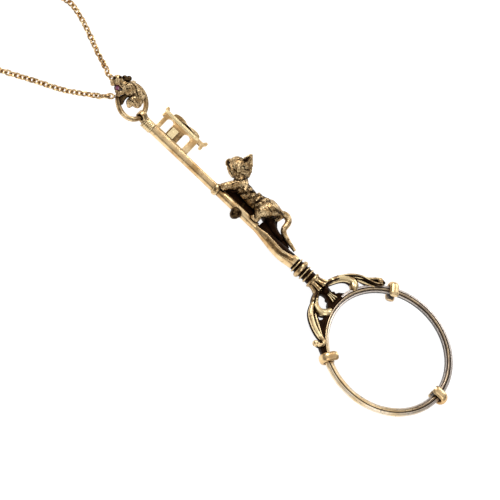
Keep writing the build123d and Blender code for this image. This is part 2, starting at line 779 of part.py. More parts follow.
# Chain routes, from the bow to the coils. Their points are chosen by hand.
chain_radius = chain_width / 2
strand_upper_points = (
    (-60.5, 2.2, 4.3),
    (-62.2, 3.9, 2.9),
    (-64.6, 5.7, 1.6),
    (-68.75, 8.26, 1.05),
    (-73.6, 10.44, 1.05),
    (-79.0, 12.0, 1.05),
    (-83.6, 9.3, 1.05),
    (-87.4, 6.1, 1.05),
    (-90.6, 4.1, 1.05),
    (-94.0, 4.1, 1.05),
)
strand_left_points = (
    (-55.9, -5.2, 5.6),
    (-57.0, -5.4, 4.1),
    (-58.9, -5.7, 2.5),
    (-61.2, -6.9, 1.3),
    (-64.9, -9.6, 1.05),
    (-70.45, -12.69, 1.05),
    (-75.92, -16.05, 1.05),
    (-82.0, -19.7, 1.05),
    (-88.5, -22.9, 1.05),
    (-94.0, -25.0, 1.05),
    (-99.5, -25.0, 1.05),
)
tail_run = 5.5


def bend_radii(points):
    """The largest even bend at each corner that its two runs allow."""
    radii = []
    for before, corner, after in zip(points, points[1:], points[2:]):
        arriving = Vector(*corner) - Vector(*before)
        leaving = Vector(*after) - Vector(*corner)
        turn = math.radians(arriving.get_angle(leaving))
        shorter = min(arriving.length, leaving.length)
        radii.append(bend_share * shorter / math.tan(turn / 2))
    return radii


def chain_tube(points, name):
    """A many-sided tube along straight runs and tangent arcs."""
    radii = bend_radii(points)
    with BuildPart() as strand:
        with BuildLine() as route:
            FilletPolyline(*points, radius=radii)
        start = route.wire() @ 0
        ahead = route.wire() % 0
        with BuildSketch(Plane(origin=start, x_dir=Vector(0, 0, 1).cross(ahead), z_dir=ahead)) as section:
            RegularPolygon(chain_radius, strand_sides, major_radius=False)
        sweep(path=route.wire())
    keep(strand, name)
    length = route.wire().length
    print(name, "length", round(length, 1), "least bend", round(min(radii), 2))
    ratio = strand.part.volume / (section.sketch.area * length)
    print(name, "volume against its section and length", round(ratio, 4))


def chain_coil(centre_x, centre_y, name):
    """Turns wound inwards on the table, then outwards on top of them, as one tube."""
    step = coil_pitch / 2
    radii = [coil_outer_radius - number * step for number in range(coil_inward_turns)]
    climb = coil_outer_radius - coil_inward_turns * step
    outward = [climb + (number + 1) * step for number in range(coil_outward_turns)]
    low = chain_radius + chain_lift
    high = low + coil_layer_step
    steps = [(radius, low, low) for radius in radii]
    steps.append((climb, low, high))
    steps = steps + [(radius, high, high) for radius in outward]
    place = Vector(centre_x, centre_y - coil_outer_radius, low)
    samples = []
    with BuildPart() as coil:
        with BuildLine() as route:
            for number, (radius, height_in, height_out) in enumerate(steps):
                side = 1 if number % 2 == 0 else -1
                rise = (height_out - height_in) / 2
                across = math.sqrt(radius**2 + rise**2)
                middle = place + Vector(-side * across, side * radius, rise)
                after = place + Vector(0, side * 2 * radius, 2 * rise)
                arc = ThreePointArc(place, middle, after)
                samples = samples + [arc @ (share / coil_samples) for share in range(coil_samples)]
                place = after
        start = route.wire() @ 0
        ahead = route.wire() % 0
        with BuildSketch(Plane(origin=start, x_dir=Vector(0, 0, 1).cross(ahead), z_dir=ahead)) as section:
            RegularPolygon(chain_radius, coil_sides, major_radius=False, rotation=180 / coil_sides)
        sweep(path=route.wire())
    keep(coil, name)
    gaps = []
    for number, point in enumerate(samples):
        for other in samples[number + coil_samples:]:
            gaps.append((point - other).length)
    length = route.wire().length
    print(name, "length", round(length, 1), "least gap", round(min(gaps) - chain_width, 2))
    ratio = coil.part.volume / (section.sketch.area * length)
    print(name, "volume against its section and length", round(ratio, 4))
    return place


def tail_points(start):
    """The last stretch, which leaves the coil's upper layer and comes down to the table."""
    level = start + Vector(-tail_run, 0, 0)
    down = level + Vector(-tail_run, 0, -coil_layer_step)
    away = down + Vector(-tail_run, 0, 0)
    return [tuple(start), tuple(level), tuple(down), tuple(away)]


chain_tube(strand_upper_points, "chain_upper")
chain_tube(strand_left_points, "chain_left")
upper_x, upper_y, _ = strand_upper_points[-1]
left_x, left_y, _ = strand_left_points[-1]
upper_end = chain_coil(upper_x, upper_y + coil_outer_radius, "coil_upper")
left_end = chain_coil(left_x, left_y + coil_outer_radius, "coil_left")
upper_tail = tail_points(upper_end)
left_tail = tail_points(left_end)
chain_tube(upper_tail, "chain_tail_upper")
chain_tube(left_tail, "chain_tail_left")

# Clasp at the end of the upper coil's tail. Its own frame runs from the chain's side to its nose.
clasp_start = Vector(*upper_tail[-1]) + Vector(0, 0, clasp_height / 2 - chain_radius)
clasp_plane = Plane(origin=clasp_start, x_dir=(-1, 0, 0), z_dir=(0, 0, 1))
nose_place = clasp_length - clasp_nose_radius
pivot_place = 2 * clasp_tail_radius + clasp_pin_radius
jaw_low = pivot_place + lever_width
jaw_middle = (jaw_low + nose_place) / 2
jaw_gap = nose_place - jaw_low
with BuildPart() as clasp:
    with BuildSketch(clasp_plane) as clasp_outline:
        with Locations((clasp_tail_radius, 0)):
            Circle(clasp_tail_radius)
        with Locations((clasp_tail_radius / 2, 0)):
            Rectangle(clasp_tail_radius, 2 * chain_radius)
        with Locations((nose_place, 0)):
            Circle(clasp_nose_radius)
        with Locations((pivot_place, 0)):
            Circle(clasp_tail_radius + clasp_pin_radius)
        make_hull()
        with Locations((nose_place, 0)):
            Circle(clasp_bore_radius, mode=Mode.SUBTRACT)
        with Locations((jaw_middle, 0)):
            Rectangle(jaw_gap, 2 * clasp_bore_radius, mode=Mode.SUBTRACT)
        with Locations((jaw_middle, clasp_nose_radius)):
            Rectangle(jaw_gap, 2 * clasp_nose_radius, mode=Mode.SUBTRACT)
    extrude(amount=clasp_height / 2, both=True)
    with BuildSketch(clasp_plane):
        with Locations(((pivot_place + jaw_low) / 2, clasp_nose_radius / 2)):
            Rectangle(jaw_low - pivot_place + 2 * lever_width, 2 * clasp_nose_radius)
    extrude(amount=clasp_slot / 2, both=True, mode=Mode.SUBTRACT)
    with BuildSketch(clasp_plane):
        with Locations((pivot_place, 0)):
            Circle(clasp_pin_radius)
    extrude(amount=clasp_height, both=True, mode=Mode.SUBTRACT)
keep(clasp, "clasp_body")

with BuildPart() as clasp_pin:
    with BuildSketch(clasp_plane):
        with Locations((pivot_place, 0)):
            Circle(clasp_pin_radius)
    extrude(amount=clasp_height / 2, both=True)
keep(clasp_pin, "clasp_pin")

# Lever that closes the clasp's mouth, with a thumb spur
lever_y = (clasp_bore_radius + clasp_nose_radius) / 2
lever_tip = nose_place - clasp_play
lever_knee = jaw_low + lever_width
with BuildPart() as lever:
    with BuildSketch(clasp_plane):
        with BuildSketch(mode=Mode.PRIVATE) as knee:
            with Locations((pivot_place, 0)):
                Circle(lever_hub_radius)
            with Locations((lever_knee, lever_y)):
                Circle(lever_width / 2)
            make_hull()
        with BuildSketch(mode=Mode.PRIVATE) as spur:
            with Locations((pivot_place, lever_hub_radius)):
                Circle(lever_width / 2)
            with Locations((pivot_place + lever_width / 2, clasp_nose_radius)):
                Circle(lever_width / 2)
            make_hull()
        add(knee.sketch)
        add(spur.sketch)
        with Locations(((lever_knee + lever_tip) / 2, lever_y)):
            Rectangle(lever_tip - lever_knee, lever_width)
        with Locations((pivot_place, 0)):
            Circle(lever_tip - pivot_place, mode=Mode.INTERSECT)
            Circle(clasp_pin_radius + clasp_play, mode=Mode.SUBTRACT)
    extrude(amount=lever_thickness / 2, both=True)
keep(lever, "clasp_lever")

# Leaf spring in the floor of the clasp's slot
spring_y = clasp_nose_radius / 2 - clasp_nose_radius
with BuildPart() as spring:
    with BuildSketch(clasp_plane):
        with BuildLine() as spring_line:
            ThreePointArc(
                (pivot_place - lever_hub_radius, spring_y + spring_strip),
                (pivot_place + lever_width / 2, spring_y + spring_strip / 2),
                (jaw_low + lever_width / 2, spring_y + spring_strip),
            )
        trace(spring_line.line, line_width=spring_strip)
    extrude(amount=lever_thickness / 2, both=True)
    add(clasp.part, mode=Mode.SUBTRACT)
keep(spring, "clasp_spring")

# Ring at the other end of the chain, which the clasp closes on, with the tab that the chain meets
catch_start = Vector(*left_tail[-1])
catch_middle = catch_start + Vector(-catch_tab - catch_ring_radius, 0, 0)
catch_section = catch_middle + Vector(catch_ring_radius, 0, 0)
with BuildPart() as catch:
    with BuildSketch(Plane(origin=catch_section, x_dir=(1, 0, 0), z_dir=(0, -1, 0))):
        RegularPolygon(catch_ring_wire / 2, wire_sides)
    revolve(axis=Axis(catch_middle, (0, 0, 1)))
    with Locations(catch_section + Vector(catch_tab / 2, 0, 0)):
        Box(catch_tab, catch_ring_wire * 2, catch_ring_wire)
keep(catch, "catch_ring")

os.makedirs("parts", exist_ok=True)
for piece in parts:
    export_step(piece, f"parts/{piece.label}.step")
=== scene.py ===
"""A quizzing glass on a fine neck chain: a lens in a stepped rim, openwork scrolls, a key for a stem
with a cat climbing it, and a bow ring with a mouse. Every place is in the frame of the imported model.
"""

import json
import math
import random

import bpy
import mathutils
import numpy as np
from bpy.props import FloatProperty, FloatVectorProperty, IntProperty, PointerProperty
from mathutils import Matrix, Vector


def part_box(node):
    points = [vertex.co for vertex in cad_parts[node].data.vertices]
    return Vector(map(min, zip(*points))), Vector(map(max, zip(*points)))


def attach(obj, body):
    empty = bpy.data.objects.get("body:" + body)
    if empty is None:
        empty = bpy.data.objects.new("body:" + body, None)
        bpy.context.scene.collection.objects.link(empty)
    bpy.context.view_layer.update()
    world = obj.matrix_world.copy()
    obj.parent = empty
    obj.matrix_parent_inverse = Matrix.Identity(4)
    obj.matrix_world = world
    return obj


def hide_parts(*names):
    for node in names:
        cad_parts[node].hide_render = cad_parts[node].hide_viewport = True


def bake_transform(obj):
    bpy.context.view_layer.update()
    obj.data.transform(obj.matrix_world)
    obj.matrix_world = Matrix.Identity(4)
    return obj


bl_info = {
    "name": "Quizzing Glass",
    "version": (1, 0, 0),
    "blender": (4, 5, 0),
    "location": "View3D > Sidebar > Quizzing Glass",
    "description": "Dresses the packed quizzing glass in its gilt, glass and chain",
    "category": "Object",
}

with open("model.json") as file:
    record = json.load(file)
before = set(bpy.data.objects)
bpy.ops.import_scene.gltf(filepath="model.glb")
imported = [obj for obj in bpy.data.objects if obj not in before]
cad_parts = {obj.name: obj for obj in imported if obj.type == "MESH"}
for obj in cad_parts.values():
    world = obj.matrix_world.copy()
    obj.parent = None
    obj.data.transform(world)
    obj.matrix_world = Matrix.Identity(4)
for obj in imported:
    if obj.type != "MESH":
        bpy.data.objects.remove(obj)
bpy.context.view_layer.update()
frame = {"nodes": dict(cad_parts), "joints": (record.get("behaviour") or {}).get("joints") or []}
MM = 0.001

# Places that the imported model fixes
RIM_LOW, RIM_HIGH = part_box("rim_band")
LENS_MIDDLE = (RIM_LOW + RIM_HIGH) / 2
RIM_RADIUS = (RIM_HIGH.x - RIM_LOW.x) / 2
AXIS_HEIGHT = LENS_MIDDLE.z
HINGE = Vector(frame["joints"][0]["pos_m"])
BOW_NORMAL = Vector(frame["joints"][1]["axis"]).normalized()
BOW_AHEAD = Vector((-BOW_NORMAL.z, 0, BOW_NORMAL.x))
BOW_ACROSS = Vector((0, -1, 0))
BOW_RADIUS = 4.5
STEM = Vector((1, 0, 0))


def on_stem(x, y=0.0, z=0.0):
    """A place given in millimetres along the stem, across it and above its axis."""
    return Vector((x, y, z)) * MM + Vector((0, 0, AXIS_HEIGHT))


def on_bow(along, across, above):
    """A place given in millimetres along the bow from its hinge, across it and out of its plane."""
    return HINGE + (BOW_AHEAD * along + BOW_ACROSS * across + BOW_NORMAL * above) * MM


def by_rim(along, across, above=0.0):
    """A place given as shares of the rim's radius towards the neck and across, and millimetres up."""
    flat = Vector((-along * RIM_RADIUS, across * RIM_RADIUS, above * MM))
    return LENS_MIDDLE + flat


# Selection and finishing

def clear_selection():
    """Leave edit mode and select nothing."""
    active = bpy.context.object
    if active is not None and active.mode != "OBJECT":
        bpy.ops.object.mode_set(mode="OBJECT")
    bpy.ops.object.select_all(action="DESELECT")


def make_active(piece):
    """Select one object alone and make it the active one."""
    clear_selection()
    piece.select_set(True)
    bpy.context.view_layer.objects.active = piece


def apply_modifier(piece, kind, **settings):
    """Add a modifier with these settings and apply it at once."""
    make_active(piece)
    modifier = piece.modifiers.new(kind.lower(), kind)
    for setting, value in settings.items():
        setattr(modifier, setting, value)
    bpy.ops.object.modifier_apply(modifier=modifier.name)


def close_and_face_out(closed):
    """In edit mode, close the open ends or join the seam, and turn all faces outwards."""
    bpy.ops.mesh.select_all(action="SELECT")
    bpy.ops.mesh.remove_doubles(threshold=0.002 * MM)
    if not closed:
        bpy.ops.mesh.fill_holes(sides=0)
    bpy.ops.mesh.normals_make_consistent(inside=False)
    bpy.ops.object.mode_set(mode="OBJECT")


def paint(piece, material, where=None):
    """Give a whole piece a finish, or only those of its faces whose middle passes the test."""
    finish = bpy.data.materials[material]
    if where is None:
        piece.data.materials.clear()
        piece.data.materials.append(finish)
        return piece
    piece.data.materials.append(finish)
    index = len(piece.data.materials) - 1
    for polygon in piece.data.polygons:
        if where(polygon.center):
            polygon.material_index = index
    return piece


def dress(piece, name, material=None, smooth_angle=40):
    """Name a finished piece, give it its finish and put its place into its mesh."""
    make_active(piece)
    bpy.ops.object.transform_apply(location=True, rotation=True, scale=True)
    bpy.ops.object.shade_smooth_by_angle(angle=math.radians(smooth_angle))
    piece.name = name
    piece.data.name = name
    if material is not None:
        paint(piece, material)
    return piece


def settle(piece, body, slot, *nodes):
    """Hang a piece on its body and let it stand for its nodes. Its slot is not used."""
    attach(piece, body)
    if nodes:
        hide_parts(*nodes)
    return piece


def fit(piece, name, material, body, slot, node, smooth_angle=40):
    """Dress a piece and settle it in its node's place."""
    dress(piece, name, material, smooth_angle)
    return settle(piece, body, slot, node)


def join(first, *others):
    """Join pieces into the first one."""
    make_active(first)
    for other in others:
        other.select_set(True)
    bpy.ops.object.join()
    return first


# The photograph: its directions, the place at its middle, its width in pixels and millimetres for a pixel
IMAGE_RIGHT = Vector((0.7266, 0.5661, 0.3888)).normalized()
IMAGE_BACK = IMAGE_RIGHT.cross(Vector((-0.6870, 0.5987, 0.4113))).normalized()
IMAGE_UP = IMAGE_BACK.cross(IMAGE_RIGHT)
LOOK_AT = Vector((-3.08, -6.357, 2.15)) * MM
PHOTO_SIZE = 500
PHOTO_SCALE = 0.25


def seen_from(centre, right, up, nearer):
    """A place right of and above another in pixels, and nearer to the camera in millimetres."""
    return centre + ((IMAGE_RIGHT * right + IMAGE_UP * up) * PHOTO_SCALE + IMAGE_BACK * nearer) * MM


def seen_on_lines(place, lines):
    """Whether a place is seen on one of these ragged lines of (end, end, half width) in pixels."""
    offset = (place - LOOK_AT) / (PHOTO_SCALE * MM)
    seen = Vector((offset.dot(IMAGE_RIGHT), offset.dot(IMAGE_UP)))
    for start, end, half_width in lines:
        along = Vector(end) - Vector(start)
        from_start = seen - Vector(start)
        share = min(1.0, max(0.0, from_start.dot(along) / along.length_squared))
        ragged = 0.85 + 0.8 * mathutils.noise.noise(place / (0.4 * MM))
        if (from_start - along * share).length < half_width * ragged:
            return True
    return False


# Ways of making a piece

def lathe(stations, middle, axis, sides=48, closed=False):
    """Turn a profile of (place along the axis, radius) stations in millimetres round an axis."""
    clear_selection()
    axis = Vector(axis).normalized()
    place, radius = stations[0]
    bpy.ops.mesh.primitive_circle_add(
        vertices=sides,
        radius=radius * MM,
        location=middle + axis * place * MM,
        rotation=axis.to_track_quat("Z", "Y").to_euler(),
    )
    piece = bpy.context.object
    bpy.ops.object.transform_apply(location=True, rotation=True, scale=True)
    bpy.ops.object.mode_set(mode="EDIT")
    bpy.ops.mesh.select_all(action="SELECT")
    for next_place, next_radius in stations[1:]:
        bpy.ops.mesh.extrude_region()
        bpy.ops.transform.translate(value=axis * (next_place - place) * MM)
        growth = next_radius / radius
        centre = middle + axis * next_place * MM
        bpy.ops.transform.resize(value=(growth, growth, growth), center_override=centre)
        place, radius = next_place, next_radius
    close_and_face_out(closed)
    return piece


def wire_ring(middle, axis, radius, wire_radius, section, sides):
    """A ring of round wire, with this many facets round the wire and round the ring."""
    stations = []
    for number in range(section + 1):
        angle = 2 * math.pi * number / section
        stations.append((wire_radius * math.sin(angle), radius + wire_radius * math.cos(angle)))
    return lathe(stations, middle, axis, sides=sides, closed=True)


def reed(start, end, low_radius, high_radius, steps=8):
    """Stations of a rounded reed between two places."""
    stations = []
    for step in range(steps + 1):
        share = step / steps
        lift = math.sin(math.pi * share) ** 0.5
        stations.append((start + (end - start) * share, low_radius + (high_radius - low_radius) * lift))
    return stations


def rod(places, radii, sides=3, steps=10):
    """A round rod on a smooth curve, whose radius in millimetres changes from point to point."""
    clear_selection()
    bpy.ops.curve.primitive_nurbs_path_add(location=(0, 0, 0))
    piece = bpy.context.object
    curve = piece.data
    curve.splines.clear()
    spline = curve.splines.new("NURBS")
    spline.points.add(len(places) - 1)
    for point, place, radius in zip(spline.points, places, radii):
        point.co = (place.x, place.y, place.z, 1)
        point.radius = radius
    spline.order_u = 3
    spline.use_endpoint_u = True
    spline.resolution_u = steps
    curve.twist_mode = "MINIMUM"
    curve.bevel_depth = MM
    curve.bevel_resolution = sides
    curve.use_fill_caps = True
    bpy.ops.object.convert(target="MESH")
    piece = bpy.context.object
    bpy.ops.object.mode_set(mode="EDIT")
    close_and_face_out(False)
    return piece


def bead_places(limb, spacing):
    """Places and radii of close beads along a limb given as (place, radius) stations."""
    beads = []
    for (here, radius_here), (there, radius_there) in zip(limb, limb[1:]):
        count = max(2, math.ceil((there - here).length / (spacing * min(radius_here, radius_there) * MM)))
        for number in range(count):
            share = number / count
            beads.append((here.lerp(there, share), radius_here + (radius_there - radius_here) * share))
    beads.append(limb[-1])
    return beads


def modelled(limbs, voxel, smoothing):
    """Build a figure up from beads along its limbs, as in wax, and smooth it into one skin."""
    clear_selection()
    beads = [bead for limb in limbs for bead in bead_places(limb, 0.6)]
    for number, (place, radius) in enumerate(beads):
        bpy.ops.mesh.primitive_ico_sphere_add(subdivisions=2, radius=radius * MM, location=place)
        if number == 0:
            piece = bpy.context.object
            bpy.ops.object.transform_apply(location=True, rotation=True, scale=True)
            bpy.ops.object.mode_set(mode="EDIT")
    bpy.ops.object.mode_set(mode="OBJECT")
    apply_modifier(piece, "REMESH", mode="VOXEL", voxel_size=voxel * MM)
    apply_modifier(piece, "SMOOTH", factor=0.5, iterations=smoothing)
    return piece


def grained(piece, grain, depth):
    """Raise a cast grain on a figure's skin."""
    texture = bpy.data.textures.new("cast_grain", "CLOUDS")
    texture.noise_scale = grain * MM
    texture.noise_depth = 1
    apply_modifier(piece, "DISPLACE", texture=texture, strength=depth * MM, mid_level=0.5)


def bevel_sharp_edges(piece, width):
    """Round the sharp edges of a piece, by a width in millimetres."""
    sharp = math.radians(35)
    apply_modifier(piece, "BEVEL", width=width * MM, segments=2, limit_method="ANGLE", angle_limit=sharp)


def softened(node, bevel):
    """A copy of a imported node, merged, with its sharp edges bevelled."""
    clear_selection()
    piece = frame["nodes"][node].copy()
    piece.data = frame["nodes"][node].data.copy()
    piece.parent = None
    for key in list(piece.keys()):
        del piece[key]
    bpy.context.scene.collection.objects.link(piece)
    make_active(piece)
    bpy.ops.object.mode_set(mode="EDIT")
    bpy.ops.mesh.select_all(action="SELECT")
    bpy.ops.mesh.remove_doubles(threshold=0.002 * MM)
    bpy.ops.mesh.dissolve_limited(angle_limit=math.radians(2))
    bpy.ops.mesh.normals_make_consistent(inside=False)
    bpy.ops.object.mode_set(mode="OBJECT")
    if bevel:
        bevel_sharp_edges(piece, bevel)
    apply_modifier(piece, "TRIANGULATE")
    return piece


def plate(corners, height, thickness):
    """A flat level plate through these corners, with its middle at a height in millimetres."""
    clear_selection()
    bpy.ops.curve.primitive_nurbs_path_add(location=(0, 0, 0))
    piece = bpy.context.object
    curve = piece.data
    curve.splines.clear()
    curve.dimensions = "2D"
    curve.fill_mode = "BOTH"
    curve.extrude = thickness * MM / 2
    spline = curve.splines.new("POLY")
    spline.points.add(len(corners) - 1)
    for point, corner in zip(spline.points, corners):
        point.co = (corner.x, corner.y, 0, 1)
    spline.use_cyclic_u = True
    piece.location = (0, 0, AXIS_HEIGHT + height * MM)
    bpy.ops.object.convert(target="MESH")
    piece = bpy.context.object
    bpy.ops.object.transform_apply(location=True, rotation=True, scale=True)
    return piece


def reshape(piece, change):
    """Move each point of a mesh to where the change says."""
    for vertex in piece.data.vertices:
        vertex.co = change(vertex.co)


# Settings

class GlassColours(bpy.types.PropertyGroup):
    """Colours of the finishes."""

    # Also the tone of the painted highlights on edges and on the rim's near side.
    gold_light: FloatVectorProperty(
        name="Rubbed gold", description="Where the plating is rubbed bright", subtype="COLOR",
        default=(0.95, 0.71, 0.40),
    )
    gold_middle: FloatVectorProperty(
        name="Old gold", description="The plating's common tone", subtype="COLOR",
        default=(0.64, 0.39, 0.165),
    )
    # Also the dark of the painted shade in hollows, with the patina.
    gold_dark: FloatVectorProperty(
        name="Patina", description="The dark of the hollows", subtype="COLOR",
        default=(0.026, 0.011, 0.005),
    )
    rim_tone: FloatVectorProperty(
        name="Rim", description="Greyed gilt of the rim", subtype="COLOR",
        default=(0.33, 0.255, 0.19),
    )
    bezel_tone: FloatVectorProperty(
        name="Bezel", description="Pale grey gilt of the lens's inner ring", subtype="COLOR",
        default=(0.62, 0.55, 0.5),
    )
    stone: FloatVectorProperty(
        name="Stone", description="The pink stone", subtype="COLOR",
        default=(0.72, 0.22, 0.42),
    )


class GlassSizes(bpy.types.PropertyGroup):
    """Sizes that a user would change, in millimetres."""

    link_width: FloatProperty(
        name="Link width", description="Outer width of a chain link", default=1.95, min=1.0, max=3.0,
    )
    link_wire: FloatProperty(
        name="Link wire", description="Thickness of the chain's wire", default=0.52, min=0.2, max=0.6,
    )
    link_pitch: FloatProperty(
        name="Link pitch", description="Distance from one link to the next", default=1.27, min=0.8, max=2.0,
    )
    figure_voxel: FloatProperty(
        name="Figure fineness", description="Size of the figures' finest forms", default=0.13,
        min=0.05, max=0.5,
    )
    rim_sides: IntProperty(
        name="Rim sides", description="Facets round the rim", default=160, min=48, max=320,
    )


class StageSettings(bpy.types.PropertyGroup):
    """The camera's and the lamps' settings."""

    lamp_level: FloatProperty(
        name="Lamp level", description="Strength of the lamps", default=1.0, min=0.1, max=4.0,
    )
    sky_level: FloatProperty(
        name="Sky level", description="Brightness of the studio round the glass", default=0.62,
        min=0.0, max=2.0,
    )


# Materials

BLACK = (0.0, 0.0, 0.0)
WHITE = (1.0, 1.0, 1.0)


def dimmed(colour, share):
    """A colour times a share."""
    return tuple(share * value for value in colour)


def between(first, second, share):
    """The colour at a share of the way from one to another."""
    return tuple((1 - share) * a + share * b for a, b in zip(first, second))


def new_node(tree, kind, **settings):
    """Add a shader node with these settings."""
    node = tree.nodes.new(kind)
    for setting, value in settings.items():
        setattr(node, setting, value)
    return node


def noise(tree, coordinates, scale, detail=3.0, roughness=0.55):
    """A noise pattern on the object's own coordinates, its scale in features for each metre."""
    node = new_node(tree, "ShaderNodeTexNoise")
    node.inputs["Scale"].default_value = scale
    node.inputs["Detail"].default_value = detail
    node.inputs["Roughness"].default_value = roughness
    tree.links.new(coordinates, node.inputs["Vector"])
    return node.outputs["Fac"]


def ramp(tree, value, stops):
    """A colour ramp of (place, colour) stops."""
    node = new_node(tree, "ShaderNodeValToRGB")
    elements = node.color_ramp.elements
    while len(elements) < len(stops):
        elements.new(0.5)
    for element, (place, colour) in zip(elements, stops):
        element.position = place
        element.color = (*colour, 1)
    tree.links.new(value, node.inputs["Fac"])
    return node.outputs["Color"]


def rise(tree, value, start, end):
    """From nought to one between two values."""
    return ramp(tree, value, ((start, BLACK), (end, WHITE)))


def mixed(tree, share, first, second):
    """Mix two colours by a share."""
    node = new_node(tree, "ShaderNodeMix", data_type="RGBA")
    tree.links.new(share, node.inputs[0])
    for socket, colour in ((node.inputs[6], first), (node.inputs[7], second)):
        if isinstance(colour, bpy.types.NodeSocket):
            tree.links.new(colour, socket)
        else:
            socket.default_value = (*colour, 1)
    return node.outputs[2]


def near_side_light_share(tree, coordinates):
    """The share of the painted light on the rim: nought on its lighter near side and one from a little before
    the stem's line on.
    """
    split = new_node(tree, "ShaderNodeSeparateXYZ")
    tree.links.new(coordinates, split.inputs["Vector"])
    across = new_node(tree, "ShaderNodeMapRange")
    across.inputs["From Min"].default_value = -15 * MM
    across.inputs["From Max"].default_value = -2 * MM
    tree.links.new(split.outputs["Y"], across.inputs["Value"])
    return across.outputs["Result"]


def gilt(name, light, middle, dark, hollow_reach, wear_scale, roughness, hollow=(0.4, 0.7, 0.95),
         edge_highlight_reach=0.0, near_side_light_tones=None, pits=(0.34, 0.46, 0.7)):
    """Old gold plate: lighter where rubbed, with a painted highlight on its edges, brown to black in its
    hollows as patina and painted shade, lightly pitted.

    The reaches are in millimetres. hollow holds how open a place is where it turns dark, brown and
    bare: patina and painted shade. The two tones of the rim's near side paint light on it, so that it
    is lighter than its far side. pits holds where the pits of the noise start and end, and how dark they are.
    """
    material = bpy.data.materials.new(name)
    material.use_nodes = True
    tree = material.node_tree
    shader = tree.nodes["Principled BSDF"]
    shader.inputs["Metallic"].default_value = 1.0
    coordinates = new_node(tree, "ShaderNodeTexCoord").outputs["Object"]
    wear = noise(tree, coordinates, wear_scale)
    tones = (middle, light)
    # Painted light: the rim's near side takes lighter tones than its far side.
    if near_side_light_tones is not None:
        share = near_side_light_share(tree, coordinates)
        tones = [mixed(tree, share, near, far) for near, far in zip(near_side_light_tones, tones)]
    plate_colour = mixed(tree, rise(tree, wear, 0.38, 0.62), *tones)
    fine = noise(tree, coordinates, wear_scale * 5, detail=4.0)
    pit_start, pit_end, pit_dark = pits
    pitted = between(middle, dark, pit_dark)
    plate_colour = mixed(tree, rise(tree, fine, pit_start, pit_end), pitted, plate_colour)
    # Painted highlight: convex edges lightened towards the rubbed gold.
    if edge_highlight_reach:
        edge = new_node(tree, "ShaderNodeAmbientOcclusion", samples=6, inside=True, only_local=True)
        edge.inputs["Distance"].default_value = edge_highlight_reach * MM
        bright = tuple(min(1.0, value) for value in dimmed(light, 1.12))
        plate_colour = mixed(tree, rise(tree, edge.outputs["AO"], 0.5, 0.85), bright, plate_colour)
    # Hollows darkened by ambient occlusion: patina and painted shade.
    shelter = new_node(tree, "ShaderNodeAmbientOcclusion", samples=8)
    shelter.inputs["Distance"].default_value = hollow_reach * MM
    low, half, high = hollow
    shaded = mixed(tree, rise(tree, shelter.outputs["AO"], low, half), dark, between(middle, dark, 0.7))
    colour = mixed(tree, rise(tree, shelter.outputs["AO"], half, high), shaded, plate_colour)
    tree.links.new(colour, shader.inputs["Base Color"])
    spread = new_node(tree, "ShaderNodeMapRange")
    spread.inputs["To Min"].default_value = roughness - 0.08
    spread.inputs["To Max"].default_value = roughness + 0.14
    tree.links.new(wear, spread.inputs["Value"])
    tree.links.new(spread.outputs["Result"], shader.inputs["Roughness"])
    bump = new_node(tree, "ShaderNodeBump")
    bump.inputs["Strength"].default_value = 0.4
    bump.inputs["Distance"].default_value = 0.05 * MM
    tree.links.new(fine, bump.inputs["Height"])
    tree.links.new(bump.outputs["Normal"], shader.inputs["Normal"])
    return material


def clear_glass():
    """The lens: nearly clear, with a cool edge and a faint reflection, and a painted reflection: its white
    grows opaque where it is seen at a slant.
    """
    material = bpy.data.materials.new("lens_clear")
    material.use_nodes = True
    tree = material.node_tree
    shader = tree.nodes["Principled BSDF"]
    shader.inputs["Base Color"].default_value = (0.97, 0.98, 0.98, 1)
    shader.inputs["Roughness"].default_value = 0.03
    shader.inputs["IOR"].default_value = 1.5
    # Painted reflection: Fresnel makes the white more opaque where the lens is seen at a slant.
    edge = new_node(tree, "ShaderNodeFresnel")
    edge.inputs["IOR"].default_value = 1.35
    spread = new_node(tree, "ShaderNodeMapRange")
    spread.inputs["To Min"].default_value = 0.04
    spread.inputs["To Max"].default_value = 0.5
    tree.links.new(edge.outputs["Fac"], spread.inputs["Value"])
    tree.links.new(spread.outputs["Result"], shader.inputs["Alpha"])
    return material


def pink_glass(colour):
    """The faceted stone: deep pink with a bright skin."""
    material = bpy.data.materials.new("stone_pink")
    material.use_nodes = True
    tree = material.node_tree
    shader = tree.nodes["Principled BSDF"]
    coordinates = new_node(tree, "ShaderNodeTexCoord").outputs["Object"]
    cloud = noise(tree, coordinates, 1500.0, detail=2.0)
    tint = ramp(tree, cloud, ((0.3, dimmed(colour, 0.45)), (0.65, colour)))
    tree.links.new(tint, shader.inputs["Base Color"])
    shader.inputs["Roughness"].default_value = 0.08
    shader.inputs["Transmission Weight"].default_value = 0.35
    shader.inputs["Coat Weight"].default_value = 0.6
    return material


def spring_steel():
    """Bare steel of the clasp's spring, with drawn lines."""
    material = bpy.data.materials.new("steel_strip")
    material.use_nodes = True
    tree = material.node_tree
    shader = tree.nodes["Principled BSDF"]
    shader.inputs["Metallic"].default_value = 1.0
    coordinates = new_node(tree, "ShaderNodeTexCoord").outputs["Object"]
    lines = noise(tree, coordinates, 3000.0)
    tint = ramp(tree, lines, ((0.3, (0.36, 0.36, 0.38)), (0.7, (0.6, 0.6, 0.62))))
    tree.links.new(tint, shader.inputs["Base Color"])
    shader.inputs["Roughness"].default_value = 0.35
    return material


